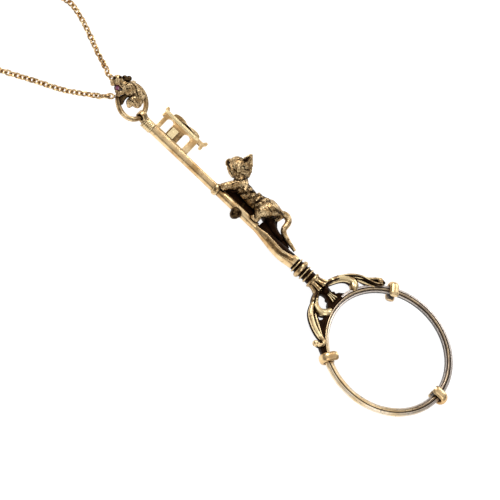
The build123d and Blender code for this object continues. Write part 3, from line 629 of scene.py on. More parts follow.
class GLASS_OT_materials(bpy.types.Operator):
    """Make the finishes"""

    bl_idname = "quizzing.materials"
    bl_label = "Finishes"

    def execute(self, context):
        colours = context.scene.glass_colours
        light = tuple(colours.gold_light)
        middle = tuple(colours.gold_middle)
        dark = tuple(colours.gold_dark)
        rim = tuple(colours.rim_tone)
        pale = tuple(colours.bezel_tone)
        worn = dimmed(middle, 0.62)
        black = dimmed(dark, 0.5)
        cream = between(light, WHITE, 0.4)
        near_rim_light_tones = (between(middle, light, 0.5), light)
        edges = (0.3, 0.6, 0.88)
        soft = (0.24, 0.44, 0.45)
        grainy = (0.38, 0.5, 0.75)
        gilt("gilt_plain", light, middle, dark, 0.8, 240.0, 0.3, edge_highlight_reach=0.25, pits=soft)
        gilt("gilt_ornament", light, worn, dark, 1.1, 420.0, 0.3, (0.45, 0.72, 0.93), 0.3)
        gilt("gilt_figure", light, worn, dark, 0.75, 700.0, 0.36, (0.5, 0.76, 0.93), 0.22, pits=grainy)
        gilt("gilt_chain", light, middle, dark, 0.5, 500.0, 0.28, (0.15, 0.42, 0.76))
        # Painted light: the rim's and the bezel's near sides take lighter tones than their far sides.
        gilt("gilt_rim", between(rim, light, 0.4), rim, dark, 0.4, 260.0, 0.3, edges, 0.14, near_rim_light_tones, soft)
        gilt("gilt_bezel", pale, pale, dark, 0.2, 260.0, 0.35, edges, near_side_light_tones=(light, cream), pits=soft)
        gilt("gilt_brown", worn, dimmed(worn, 0.4), black, 0.7, 700.0, 0.42)
        gilt("gilt_black", dark, black, black, 0.5, 500.0, 0.45)
        gilt("gilt_dark", dimmed(worn, 0.4), black, black, 0.5, 900.0, 0.42)
        clear_glass()
        pink_glass(tuple(colours.stone))
        spring_steel()
        return {"FINISHED"}


# Stage

CAMERA_LENS = 800.0
CAMERA_SENSOR = 36.0


def place_camera():
    """A far camera with a long lens, at the photograph's angle and scale."""
    bpy.ops.object.camera_add()
    camera = bpy.context.object
    camera.data.lens = CAMERA_LENS
    camera.data.sensor_width = CAMERA_SENSOR
    distance = PHOTO_SIZE * PHOTO_SCALE * MM * CAMERA_LENS / CAMERA_SENSOR
    turned = Matrix((IMAGE_RIGHT, IMAGE_UP, IMAGE_BACK)).transposed().to_4x4()
    camera.matrix_world = Matrix.Translation(LOOK_AT + IMAGE_BACK * distance) @ turned
    camera.data.clip_start = 0.1
    camera.data.clip_end = 20.0
    bpy.context.scene.camera = camera


def seen_white(tree, share_seen):
    """One where a camera, glossy or transmitted ray sees the surface, and nought elsewhere."""
    path = new_node(tree, "ShaderNodeLightPath")
    total = path.outputs["Is Camera Ray"]
    for name in ("Is Glossy Ray", "Is Transmission Ray"):
        add = new_node(tree, "ShaderNodeMath", operation="MAXIMUM")
        tree.links.new(total, add.inputs[0])
        tree.links.new(path.outputs[name], add.inputs[1])
        total = add.outputs[0]
    scale = new_node(tree, "ShaderNodeMath", operation="MULTIPLY")
    tree.links.new(total, scale.inputs[0])
    scale.inputs[1].default_value = share_seen
    return scale.outputs[0]


def make_floor():
    """A wide white table, bright to the camera and still taking a shadow."""
    bpy.ops.mesh.primitive_plane_add(size=3.0, location=(0, 0, 0))
    floor = bpy.context.object
    floor.name = "table"
    material = bpy.data.materials.new("table_white")
    material.use_nodes = True
    tree = material.node_tree
    shader = tree.nodes["Principled BSDF"]
    shader.inputs["Base Color"].default_value = (0.3, 0.3, 0.3, 1)
    shader.inputs["Roughness"].default_value = 0.9
    shader.inputs["Specular IOR Level"].default_value = 0.0
    shader.inputs["Emission Color"].default_value = (1, 1, 1, 1)
    tree.links.new(seen_white(tree, 0.93), shader.inputs["Emission Strength"])
    floor.data.materials.append(material)


def make_sky(level):
    """A studio that is white at the horizon, dark above it and pale overhead."""
    world = bpy.data.worlds.new("studio")
    bpy.context.scene.world = world
    world.use_nodes = True
    tree = world.node_tree
    background = tree.nodes["Background"]
    direction = new_node(tree, "ShaderNodeTexCoord").outputs["Generated"]
    split = new_node(tree, "ShaderNodeSeparateXYZ")
    tree.links.new(direction, split.inputs["Vector"])
    pale = dimmed(WHITE, level)
    dark = dimmed(pale, 0.12)
    stops = ((0.06, WHITE), (0.1, dark), (0.3, dark), (0.8, pale))
    tree.links.new(ramp(tree, split.outputs["Z"], stops), background.inputs["Color"])
    background.inputs["Strength"].default_value = 1.0


def add_lamp(name, place, size, power):
    """A square soft lamp that points at the glass."""
    bpy.ops.object.light_add(type="AREA", location=place)
    lamp = bpy.context.object
    lamp.name = name
    lamp.data.shape = "SQUARE"
    lamp.data.size = size
    lamp.data.energy = power
    lamp.rotation_euler = (Vector(place) - LOOK_AT).to_track_quat("Z", "Y").to_euler()


class GLASS_OT_stage(bpy.types.Operator):
    """Set the camera, the table, the studio and its lamps"""

    bl_idname = "quizzing.stage"
    bl_label = "Stage"

    def execute(self, context):
        settings = context.scene.glass_stage
        clear_selection()
        place_camera()
        make_floor()
        make_sky(settings.sky_level)
        level = settings.lamp_level
        add_lamp("key_lamp", (-0.45, 0.35, 0.55), 0.35, 3.2 * level)
        add_lamp("fill_lamp", (0.5, -0.45, 0.5), 0.5, 1.6 * level)
        add_lamp("back_lamp", (0.1, 0.7, 0.3), 0.3, 1.2 * level)
        context.scene.view_settings.view_transform = "Standard"
        return {"FINISHED"}


# Lens and rim

# Bands of the rim in millimetres from the lens's axis: painted shade in the groove, a painted highlight on
# the outer band and the painted shadow of the openwork.
RIM_GROOVE_SHADE = (17.03, 17.2)
RIM_HIGHLIGHT_BAND = 17.3
OPENWORK_SHADE = (16.95, 18.1)


def from_lens_axis(place):
    """How far a place is from the lens's axis, in millimetres."""
    return (place - LENS_MIDDLE).to_2d().length / MM


class GLASS_OT_lens(bpy.types.Operator):
    """Turn the domed lens, its inner ring and the stepped rim"""

    bl_idname = "quizzing.lens"
    bl_label = "Lens and rim"

    def execute(self, context):
        sides = context.scene.glass_sizes.rim_sides
        edge_radius = 16.06
        middle_half = 0.54
        edge_half = 0.25
        zones = 14
        upper = []
        for number in range(1, zones + 1):
            share = number / zones
            height = edge_half + (middle_half - edge_half) * (1 - share**2)
            upper.append((height, edge_radius * share))
        lower = [(-height, radius) for height, radius in reversed(upper)]
        lens = lathe(upper + lower, LENS_MIDDLE, (0, 0, 1), sides)
        fit(lens, "lens_disc", "lens_clear", "root", "lens_glass", "lens")

        bezel_profile = (
            (0.3, 15.9), (0.36, 15.96), (0.36, 16.2), (0.28, 16.36), (0.2, 16.42), (0.2, 16.5), (-0.2, 16.5),
            (-0.2, 16.42), (-0.32, 16.36), (-0.4, 16.2), (-0.4, 15.96), (-0.32, 15.9), (-0.26, 15.9),
            (-0.26, 16.1), (0.26, 16.1), (0.26, 15.9), (0.3, 15.9),
        )
        bezel = lathe(bezel_profile, LENS_MIDDLE, (0, 0, 1), sides, closed=True)
        fit(bezel, "bezel_ring", "gilt_bezel", "root", "dark_gilt", "inner_bezel")

        half_profile = (
            (0.5, 16.54), (0.64, 16.58), (0.69, 16.68), (0.69, 16.9), (0.62, 17.0), (0.45, 17.06),
            (0.42, 17.16), (0.5, 17.22), (0.62, 17.3), (0.62, 17.5), (0.54, 17.6), (0.44, 17.66),
            (0.4, 17.74), (0.4, 17.86), (0.3, 17.95), (0.1, 18.0),
        )
        lower_profile = tuple((-height, radius) for height, radius in reversed(half_profile))
        rim_profile = half_profile + lower_profile + half_profile[:1]
        rim = lathe(rim_profile, LENS_MIDDLE, (0, 0, 1), sides, closed=True)

        def in_groove(place):
            return RIM_GROOVE_SHADE[0] < from_lens_axis(place) < RIM_GROOVE_SHADE[1]

        def under_openwork(place):
            offset = (place - LENS_MIDDLE) / MM
            shaded = OPENWORK_SHADE[0] < from_lens_axis(place) < OPENWORK_SHADE[1]
            return offset.x < -9.4 and offset.y < 2 and shaded

        paint(rim, "gilt_rim")
        # Painted shade in the groove.
        paint(rim, "gilt_brown", in_groove)
        # Painted highlight: the outer band pale, in the bezel's finish.
        paint(rim, "gilt_bezel", lambda place: from_lens_axis(place) > RIM_HIGHLIGHT_BAND)
        # Painted shadow of the openwork on the rim near the neck.
        paint(rim, "gilt_black", under_openwork)
        fit(rim, "rim_ring", None, "root", "dark_gilt", "rim_band")
        return {"FINISHED"}


# Each claw's turn in degrees and the radius at which it starts to bend over the rim
CLAW_TURNS = {"claw_end": (2.5, 17.5), "claw_cat_side": (122.5, 17.3), "claw_foot_side": (-124.0, 17.1)}
CLAW_BEND = 1.42
CLAW_FINGER = ((-2.3, 0.55), (-1.8, 0.76), (-0.7, 0.7))
CLAW_WIRE = 0.68
CLAW_ARC_STEPS = 7


class GLASS_OT_claws(bpy.types.Operator):
    """Bend the three claws that clip over the rim"""

    bl_idname = "quizzing.claws"
    bl_label = "Claws"

    def execute(self, context):
        finger_radii = [radius for _, radius in CLAW_FINGER]
        radii = finger_radii + [CLAW_WIRE] * CLAW_ARC_STEPS + finger_radii[::-1]
        for node, (turn, arc_middle) in CLAW_TURNS.items():
            angle = math.radians(turn)
            outward = Vector((math.cos(angle), math.sin(angle), 0))

            def claw_place(reach, height):
                return LENS_MIDDLE + (outward * (arc_middle + reach) + Vector((0, 0, height))) * MM

            places = [claw_place(reach, CLAW_BEND) for reach, _ in CLAW_FINGER]
            for step in range(1, CLAW_ARC_STEPS + 1):
                swing = math.pi / 2 - step * math.pi / (CLAW_ARC_STEPS + 1)
                reach = CLAW_BEND * 1.06 * math.cos(swing)
                places.append(claw_place(reach, CLAW_BEND * 1.03 * math.sin(swing)))
            places += [claw_place(reach, -CLAW_BEND) for reach, _ in reversed(CLAW_FINGER)]
            claw = rod(places, radii, sides=4)
            sideways = Vector((0, 0, 1)).cross(outward)

            def widen(point):
                offset = (point - LENS_MIDDLE).dot(sideways)
                return flat_below(point + sideways * offset * 0.75)

            reshape(claw, widen)
            dress(claw, node.replace("claw", "clip"), "gilt_plain")
            settle(claw, "root", "old_gold", node)
        return {"FINISHED"}


# Openwork

# Each arm's lines, as shares of the rim's radius from the lens's middle towards the neck and across
SCROLL_SHARES = {
    "scroll_cat_side": {
        "side": 1,
        "c_scroll": (
            (1.27, 0.06), (1.235, 0.15), (1.205, 0.245), (1.165, 0.335), (1.105, 0.41), (1.03, 0.447),
            (0.965, 0.44), (0.925, 0.41), (0.905, 0.38),
        ),
        "foot_leaf": ((1.0, 0.45), (0.955, 0.40), (0.915, 0.36), (0.885, 0.34)),
        "outer_rib": (
            (1.185, 0.335), (1.135, 0.43), (1.05, 0.535), (0.945, 0.615), (0.84, 0.65), (0.755, 0.68),
            (0.70, 0.72), (0.672, 0.765),
        ),
        "middle_rib": (
            (1.05, 0.50), (0.98, 0.565), (0.9, 0.63), (0.835, 0.70), (0.785, 0.765), (0.742, 0.805),
        ),
        "inner_rib": ((1.02, 0.475), (0.95, 0.53), (0.87, 0.565), (0.79, 0.60), (0.73, 0.64)),
        "bud": (0.728, 0.775),
        "bead": (1.213, 0.225),
        "shade_sheet": (
            (1.2, 0.3), (1.1, 0.45), (1.02, 0.55), (0.93, 0.63), (0.85, 0.69), (0.77, 0.79), (0.70, 0.81),
            (0.65, 0.80), (0.645, 0.75), (0.70, 0.69), (0.78, 0.605), (0.83, 0.56), (0.86, 0.55),
            (0.93, 0.53), (1.0, 0.47), (1.1, 0.38), (1.17, 0.24),
        ),
    },
    "scroll_foot_side": {
        "side": -1,
        "c_scroll": (
            (1.27, 0.06), (1.245, 0.12), (1.22, 0.19), (1.18, 0.255), (1.12, 0.297), (1.055, 0.305),
            (1.0, 0.275), (0.965, 0.225), (0.95, 0.16),
        ),
        "foot_leaf": ((1.03, 0.305), (0.985, 0.27), (0.955, 0.235), (0.935, 0.19)),
        "outer_rib": (
            (1.195, 0.27), (1.165, 0.37), (1.09, 0.465), (0.99, 0.535), (0.895, 0.58), (0.805, 0.605),
            (0.735, 0.61), (0.70, 0.65), (0.722, 0.71), (0.77, 0.72),
        ),
        "middle_rib": ((1.15, 0.36), (1.07, 0.455), (0.975, 0.525), (0.885, 0.575), (0.81, 0.61)),
        "inner_rib": ((1.125, 0.335), (1.05, 0.41), (0.955, 0.475), (0.87, 0.53), (0.79, 0.58)),
        "bud": (0.79, 0.735),
        "bead": (1.205, 0.205),
        "shade_sheet": (
            (1.21, 0.2), (1.15, 0.34), (1.10, 0.43), (1.0, 0.51), (0.90, 0.57), (0.80, 0.61),
            (0.75, 0.72), (0.68, 0.77), (0.60, 0.81), (0.58, 0.77), (0.68, 0.69), (0.79, 0.56),
            (0.87, 0.46), (0.90, 0.36), (0.915, 0.27), (0.96, 0.27), (0.945, 0.37), (0.97, 0.42),
            (1.03, 0.395), (1.045, 0.34),
        ),
    },
}

# How far, as a share of the rim's radius, a millimetre of height moves a thing across as the camera sees it
HEIGHT_SHIFT = 0.038


def ball(place, radius, wide=1.0, deep=1.0, segments=20):
    """A ball, widened or narrowed across and in its depth as the camera sees it."""
    clear_selection()
    bpy.ops.mesh.primitive_uv_sphere_add(
        segments=segments, ring_count=segments // 2, radius=radius * MM, location=place
    )
    piece = bpy.context.object
    bpy.ops.object.transform_apply(location=True, rotation=True, scale=True)

    def stretch(point):
        offset = point - place
        side = offset.dot(IMAGE_RIGHT)
        depth = offset.dot(IMAGE_BACK)
        return point + IMAGE_RIGHT * side * (wide - 1) + IMAGE_BACK * depth * (deep - 1)

    reshape(piece, stretch)
    return piece


def scroll_arm(node):
    """A C scroll with a leaf for a foot, and a leaf of ribs that springs from its back, with black pieces for
    painted shade.
    """
    shares = SCROLL_SHARES[node]
    side = shares["side"]

    def at(along, across, above=0.0):
        return by_rim(along, side * across - HEIGHT_SHIFT * above, above)

    def points(name, above=0.0, rise=0.0):
        last = len(shares[name]) - 1
        return [at(*share, above + rise * (number / last) ** 2) for number, share in enumerate(shares[name])]

    def wider(radii, growth):
        return [radius + growth for radius in radii]

    c_radii = [0.6, 0.74, 0.86, 0.92, 0.95, 0.98, 1.02, 1.0, 0.8]
    crease_radii = [0.2, 0.28, 0.34, 0.36, 0.36, 0.34, 0.24]
    ribs = [rod(points("c_scroll"), c_radii, sides=4, steps=8)]
    ribs.append(rod(points("c_scroll", 0.62)[2:], crease_radii, sides=2, steps=8))
    ribs.append(rod(points("foot_leaf", 0.1), [0.7, 1.0, 1.0, 0.7], sides=4, steps=6))
    outer_line = points("outer_rib", 0.25, 0.5)
    outer_radii = [0.4, 0.52, 0.56, 0.54, 0.52, 0.5, 0.46, 0.44, 0.42, 0.4]
    if side < 0:
        outer_radii = wider(outer_radii, 0.12)
    ribs.append(rod(outer_line, outer_radii, sides=4, steps=8))
    middle_radii = [0.2, 0.32, 0.36, 0.36, 0.34, 0.3]
    ribs.append(rod(points("middle_rib", 0.45, 0.3), middle_radii, sides=3, steps=8))
    ribs.append(rod(points("inner_rib", 0.14, 0.4), [0.24, 0.34, 0.38, 0.34, 0.24], sides=3, steps=8))
    ribs.append(ball(at(*shares["bud"], 0.5), 0.84))
    ribs.append(ball(at(*shares["bead"], 0.3), 0.74))
    for rib in ribs:
        paint(rib, "gilt_ornament")
    paint(ribs[0], "gilt_brown", lambda place: place.x < by_rim(1.2, 0).x)
    # Painted shade: black copies of the C scroll and the outer rib, lower and wider, show as dark edges on
    # their near sides.
    lower = Vector((0, 0, -0.6)) * MM
    shade = []
    for line, radii in ((points("c_scroll"), c_radii), (outer_line, outer_radii)):
        shade.append(rod([place + lower for place in line], wider(radii, 0.12), sides=4, steps=8))
    if side > 0:
        # Painted shade: a black line in the groove along the outer rib.
        groove = [0.16, 0.2, 0.22, 0.22, 0.2, 0.2, 0.18]
        shade.append(rod(points("outer_rib", 0.74, 0.5)[1:], groove, sides=2, steps=8))
    # Painted shade: a black line in the C scroll's groove.
    shade.append(rod(points("c_scroll", 0.9)[:4], [0.26, 0.3, 0.24, 0.14], sides=2, steps=8))
    # Painted shade: a black sheet in the gaps between the ribs.
    shade.append(plate(points("shade_sheet"), -0.1, 1.1))
    return join(*ribs, *[paint(piece, "gilt_black") for piece in shade])


class GLASS_OT_openwork(bpy.types.Operator):
    """Form the scroll arms and the ribbed leaf between the neck and the rim"""

    bl_idname = "quizzing.openwork"
    bl_label = "Openwork"

    def execute(self, context):
        for node in SCROLL_SHARES:
            arm = scroll_arm(node)
            dress(arm, node.replace("scroll", "leaf_scroll"))
            settle(arm, "root", "old_gold", node)
        low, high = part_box("hub_leaf")
        hub = softened("hub_leaf", 0.12)
        middle = (low + high) / 2

        def narrow(point):
            share = (point.x - low.x) / (high.x - low.x)
            waist = 0.75 + 0.3 * abs(2 * share - 1)
            return Vector((point.x, point.y * waist, middle.z + (point.z - middle.z) * 0.72))

        reshape(hub, narrow)
        paint(hub, "gilt_black")
        reach = high.x - low.x
        ribs = []
        for across in (-0.62, 0.0, 0.62):
            places = []
            for share, spread in ((0.02, 1.4), (0.25, 0.9), (0.5, 0.6), (0.75, 0.9), (0.97, 1.4)):
                along = (low.x + reach * share) / MM
                places.append(on_stem(along, across * spread, 0.62))
            rib = rod(places, [0.2, 0.16, 0.13, 0.17, 0.2], sides=2, steps=6)
            ribs.append(paint(rib, "gilt_ornament"))
        ribs.append(paint(ball(by_rim(1.19, 0.0, 0.4), 1.15), "gilt_black"))
        half = (
            (1.33, 0.11), (1.24, 0.12), (1.17, 0.06), (1.12, 0.065), (1.09, 0.1), (1.06, 0.09), (1.035, 0.14),
            (1.0, 0.17), (0.97, 0.2),
        )
        corners = [by_rim(along, across) for along, across in half]
        corners += [by_rim(along, -across) for along, across in reversed(half)]
        ribs.append(paint(plate(corners, -0.15, 1.1), "gilt_black"))
        hub = join(hub, *ribs)
        fit(hub, "centre_leaf", None, "root", "old_gold", "hub_leaf")
        return {"FINISHED"}


# Neck and handle

def stem_places(node):
    """Where a node starts and ends along the stem, in millimetres."""
    low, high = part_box(node)
    return low.x / MM, high.x / MM


def flat_below(point):
    """Keep a point from going below the table."""
    return Vector((point.x, point.y, max(point.z, 0.0)))


class GLASS_OT_neck(bpy.types.Operator):
    """Turn the crown, the reeded collar and the spindle in them"""

    bl_idname = "quizzing.neck"
    bl_label = "Neck"

    def execute(self, context):
        # Turn the crown and the reeded collar, and gild the spindle in them
        start, end = stem_places("crown_cap")
        length = end - start
        profile = (
            (0.0, 1.2), (0.01, 1.95), (0.06, 2.12), (0.12, 2.2), (0.18, 2.06), (0.26, 1.88), (0.36, 1.86),
            (0.48, 1.95), (0.6, 2.1), (0.72, 2.3), (0.82, 2.5), (0.9, 2.7), (0.96, 2.8), (1.0, 2.7),
            (0.96, 2.2), (0.92, 1.2),
        )
        stations = [(start + share * length, radius) for share, radius in profile]
        crown = lathe(stations, on_stem(0), STEM, sides=128)
        petals = 8

        def valley(point):
            offset = point - on_stem(point.x / MM)
            return (0.5 - 0.5 * math.cos(petals * math.atan2(offset.y, offset.z))) ** 2

        def flute(point):
            along = (point.x / MM - start) / length
            offset = point - on_stem(point.x / MM)
            depth = 0.3 * min(max((along - 0.16) / 0.4, 0.0), 1.0)
            return flat_below(on_stem(point.x / MM) + offset * (1 - depth * valley(point)))

        reshape(crown, flute)
        paint(crown, "gilt_ornament")
        # Painted shade: the flutes' valleys black.
        paint(crown, "gilt_black", lambda place: place.x / MM > start + 0.3 * length and valley(place) > 0.62)
        fit(crown, "crown_cup", None, "root", "old_gold", "crown_cap")

        start, end = stem_places("reeded_collar")
        length = end - start
        waist = 1.66
        reeds = ((0.13, 0.09, 2.12), (0.37, 0.27, 2.44), (0.6, 0.09, 2.12), (0.8, 0.1, 2.0))
        stations = [(start, 1.3), (start + 0.02, waist)]
        for place, width, radius in reeds:
            middle = start + length * place
            half = length * width / 2
            stations += reed(middle - half, middle + half, waist, radius)
        stations += [(end - 0.02, waist), (end, 1.3)]
        collar = lathe(stations, on_stem(0), STEM, sides=64)
        reshape(collar, flat_below)
        paint(collar, "gilt_ornament")
        # Painted shade: the waist between the reeds black.
        paint(collar, "gilt_black", lambda place: (place - on_stem(place.x / MM)).length < 1.84 * MM)
        fit(collar, "collar_reeds", None, "root", "old_gold", "reeded_collar")
        paint(frame["nodes"]["neck_spindle"], "gilt_plain")
        return {"FINISHED"}


# The handle's radii in millimetres, and how far up the ridge runs, by the share of its length
HANDLE_PROFILE = (
    (0.0, 1.24), (0.08, 1.32), (0.16, 1.5), (0.24, 1.66), (0.32, 1.84), (0.4, 2.02), (0.48, 2.18),
    (0.56, 2.3), (0.64, 2.38), (0.72, 2.38), (0.8, 2.28), (0.88, 2.1), (0.95, 1.92), (1.0, 1.84),
)
RIDGE_LINE = (
    (0.0, 0.4), (0.1, 0.45), (0.24, 0.75), (0.45, 0.5), (0.65, 0.3), (0.8, 0.75), (0.93, 1.3), (1.0, 1.6),
)


def along_line(line, share):
    """The value of a line of (share, value) points at a share."""
    for (before, low), (after, high) in zip(line, line[1:]):
        if share <= after:
            return low + (high - low) * max(0.0, (share - before) / (after - before))
    return line[-1][1]


class GLASS_OT_handle(bpy.types.Operator):
    """Turn the swelling handle, with the winding ridge and the hollow beside it"""

    bl_idname = "quizzing.handle"
    bl_label = "Handle"

    def execute(self, context):
        start, end = stem_places("handle")
        length = end - start
        stations = [(start + 0.01, 0.6)]
        for number in range(49):
            share = number / 48
            stations.append((start + share * length, along_line(HANDLE_PROFILE, share) * 0.98))
        stations.append((end - 0.01, 0.6))
        body = lathe(stations, on_stem(0), STEM, sides=96)
        seen_up = Vector((0, 0.824, 0.566))

        def where(point):
            share = (point.x / MM - start) / length
            offset = point - on_stem(point.x / MM)
            return share, offset, offset.dot(seen_up) / MM - along_line(RIDGE_LINE, share)

        def carve(point):
            share, offset, side = where(point)
            if side > 0:
                scale = 1 - 0.3 * min(side / 0.35, 1.0) * (1 - max(0.0, share - 0.78) / 0.22)
            else:
                fading = math.sin(math.pi * min(1.0, max(0.0, share)))
                groove = math.exp(-(((side + 1.0) / 0.42) ** 2)) * fading
                ridge = math.exp(-(((side + 0.18) / 0.22) ** 2))
                scale = 0.95 - 0.13 * groove + 0.05 * ridge
            return flat_below(on_stem(point.x / MM) + offset * scale)

        marks = [where(vertex.co)[2] for vertex in body.data.vertices]
        sides = []
        for polygon in body.data.polygons:
            sides.append(sum(marks[corner] for corner in polygon.vertices) / len(polygon.vertices))
        reshape(body, carve)
        paint(body, "gilt_plain")
        # Painted shade: black beyond the ridge on the side towards the cat, and brown in the groove beside
        # the ridge.
        for material, test in (
            ("gilt_black", lambda side, share: side > 0.12 and share < 0.9),
            ("gilt_brown", lambda side, share: -1.45 < side < -0.5 and 0.3 < share < 0.93),
        ):
            body.data.materials.append(bpy.data.materials[material])
            for polygon, side in zip(body.data.polygons, sides):
                if test(side, (polygon.center.x / MM - start) / length):
                    polygon.material_index = len(body.data.materials) - 1
        fit(body, "handle_swell", None, "root", "old_gold", "handle")
        return {"FINISHED"}


class GLASS_OT_stem(bpy.types.Operator):
    """Draw the rod and the tube, turn their collar and ferrule, bevel the eye and reshape the cat's stud"""

    bl_idname = "quizzing.stem"
    bl_label = "Stem"

    def execute(self, context):
        collar_start, collar_end = stem_places("tube_end_collar")
        handle_start, _ = stem_places("handle")
        stations = [(collar_end, 0.75), (collar_end + 0.01, 1.08), (collar_end + 0.1, 1.15)]
        stations += [(handle_start - 0.1, 1.15), (handle_start, 1.1), (handle_start + 0.02, 0.75)]
        stem_rod = lathe(stations, on_stem(0), STEM, sides=48)
        fit(stem_rod, "lower_stem", "gilt_plain", "root", "old_gold", "stem_rod")

        start, end = stem_places("stem_tube")
        stations = [(start, 0.8), (start, 1.12), (start + 0.08, 1.2), (end - 0.08, 1.2), (end, 1.12)]
        stations += [(end, 0.8), (start, 0.8)]
        tube = lathe(stations, on_stem(0), STEM, sides=48, closed=True)
        fit(tube, "upper_stem", "gilt_plain", "root", "old_gold", "stem_tube")

        edge = 0.04 * (collar_end - collar_start)
        stations = [(collar_start, 1.2), (collar_start, 1.35)]
        stations += reed(collar_start + edge, collar_end - edge, 1.34, 1.61)
        stations += [(collar_end, 1.35), (collar_end, 1.2), (collar_start, 1.2)]
        collar = lathe(stations, on_stem(0), STEM, sides=48, closed=True)
        fit(collar, "stem_bead", "gilt_ornament", "root", "old_gold", "tube_end_collar")

        start, end = stem_places("top_ferrule")
        rings = 5
        stations = [(start, 1.2), (start, 1.36)]
        for number in range(rings * 4):
            swing = (number + 0.5) / (rings * 4)
            lift = abs(math.sin(math.pi * rings * swing)) ** 0.7
            stations.append((start + (end - start) * swing, 1.34 + 0.15 * lift))
        stations += [(end, 1.36), (end, 1.2), (start, 1.2)]
        ferrule = lathe(stations, on_stem(0), STEM, sides=48, closed=True)
        fit(ferrule, "ferrule_rings", "gilt_ornament", "root", "old_gold", "top_ferrule")

        eye = softened("eye_plug", 0.1)
        fit(eye, "bow_eye", "gilt_ornament", "root", "old_gold", "eye_plug")

        stud = softened("cat_stud", 0.0)
        low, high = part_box("cat_stud")
        middle = (low + high) / 2

        def further_out(point):
            share = min(1.0, max(0.0, -point.y / MM - 1.0))
            slimmer = 1 - 0.18 * share
            place = middle + (point - middle) * slimmer
            return Vector((place.x, point.y - 0.7 * share * MM, place.z))

        reshape(stud, further_out)
        fit(stud, "cat_pin", "gilt_dark", "root", "old_gold", "cat_stud")
        return {"FINISHED"}


class GLASS_OT_bit(bpy.types.Operator):
    """Bevel the key bit, with a raised bar under its crest"""

    bl_idname = "quizzing.bit"
    bl_label = "Key bit"

    def execute(self, context):
        low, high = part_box("key_bit")
        start = low.x / MM
        height = (high.z - low.z) / MM
        reach = height / 2 - 0.36
        bar_y = 6.72

        def thin(point):
            return Vector((point.x, point.y, AXIS_HEIGHT + (point.z - AXIS_HEIGHT) * 0.66))

        bit = softened("key_bit", 0.12)
        reshape(bit, thin)
        paint(bit, "gilt_plain")

        def bit_line(alongs, across, above=0.0):
            return [on_stem(start + along, across, above) for along in alongs]

        bar_line = bit_line((0.5, 1.2, 4.0, 7.5, 10.6, 11.3), bar_y)
        bar = rod(bar_line, [0.3, 0.46, 0.5, 0.5, 0.46, 0.3], sides=4, steps=4)
        edge_line = bit_line((0.6, 1.3, 4.0, 7.5, 10.5, 11.2), bar_y + 0.28, reach)
        edge = rod(edge_line, [0.14, 0.24, 0.26, 0.26, 0.24, 0.14], sides=3, steps=4)
        post = bit_line((4.65, 6.5), 1.5) + bit_line((6.5, 4.65), 4.5)
        block = plate(post, 0.0, 1.32 * reach + 0.65)
        apply_modifier(block, "BEVEL", width=0.2 * MM, segments=2)

        def round_post(place):
            along = place.x / MM - start
            return 4.3 < along < 6.9 and place.y < 4.9 * MM

        # Painted shade: brown round the raised block on the middle post.
        paint(bit, "gilt_brown", round_post)
        paint(block, "gilt_ornament")
        paint(bar, "gilt_plain")
        paint(edge, "gilt_plain")
        bit = join(bit, block, bar, edge)
        fit(bit, "bit_plate", None, "root", "old_gold", "key_bit")
        low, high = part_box("bit_crest")
        corners = []
        for share, across in (
            (0.0, 7.1), (0.03, 8.0), (0.1, 8.4), (0.22, 8.6), (0.36, 8.5), (0.46, 8.1), (0.52, 7.95),
            (0.58, 8.15), (0.7, 8.4), (0.84, 8.4), (0.95, 8.0), (1.0, 7.1),
        ):
            corners.append(Vector((low.x + (high.x - low.x) * share, across * MM, 0)))
        crest = plate(corners, 0.0, 0.62 * height)
        bevel_sharp_edges(crest, 0.14)
        paint(crest, "gilt_ornament")
        # Painted shade: black along the crest's foot, beside the bar.
        paint(crest, "gilt_black", lambda place: place.y < 7.6 * MM)
        fit(crest, "bit_top", None, "root", "old_gold", "bit_crest")
        return {"FINISHED"}


# Figures

# The cat's places and radii are shares of its length
CAT_LENGTH = 20.0


def cat_place(along, up, front):
    """A place on the cat from shares of its length along the stem, away from it and to the front."""
    _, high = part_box("tube_end_collar")
    return Vector((high.x, 0, AXIS_HEIGHT)) + Vector((along, up, front)) * CAT_LENGTH * MM


def cat_limb(shares):
    """Stations of a limb of the cat."""
    return [(cat_place(along, up, front), radius * CAT_LENGTH) for along, up, front, radius in shares]


def seen_limb(middle, stations):
    """Stations of a limb given as the camera sees it from a middle."""
    return [(seen_from(middle, *station[:3]), station[3]) for station in stations]


def limb_rod(limb, sides, steps):
    """A rod along a limb's stations."""
    places, radii = zip(*limb)
    return rod(places, radii, sides=sides, steps=steps)


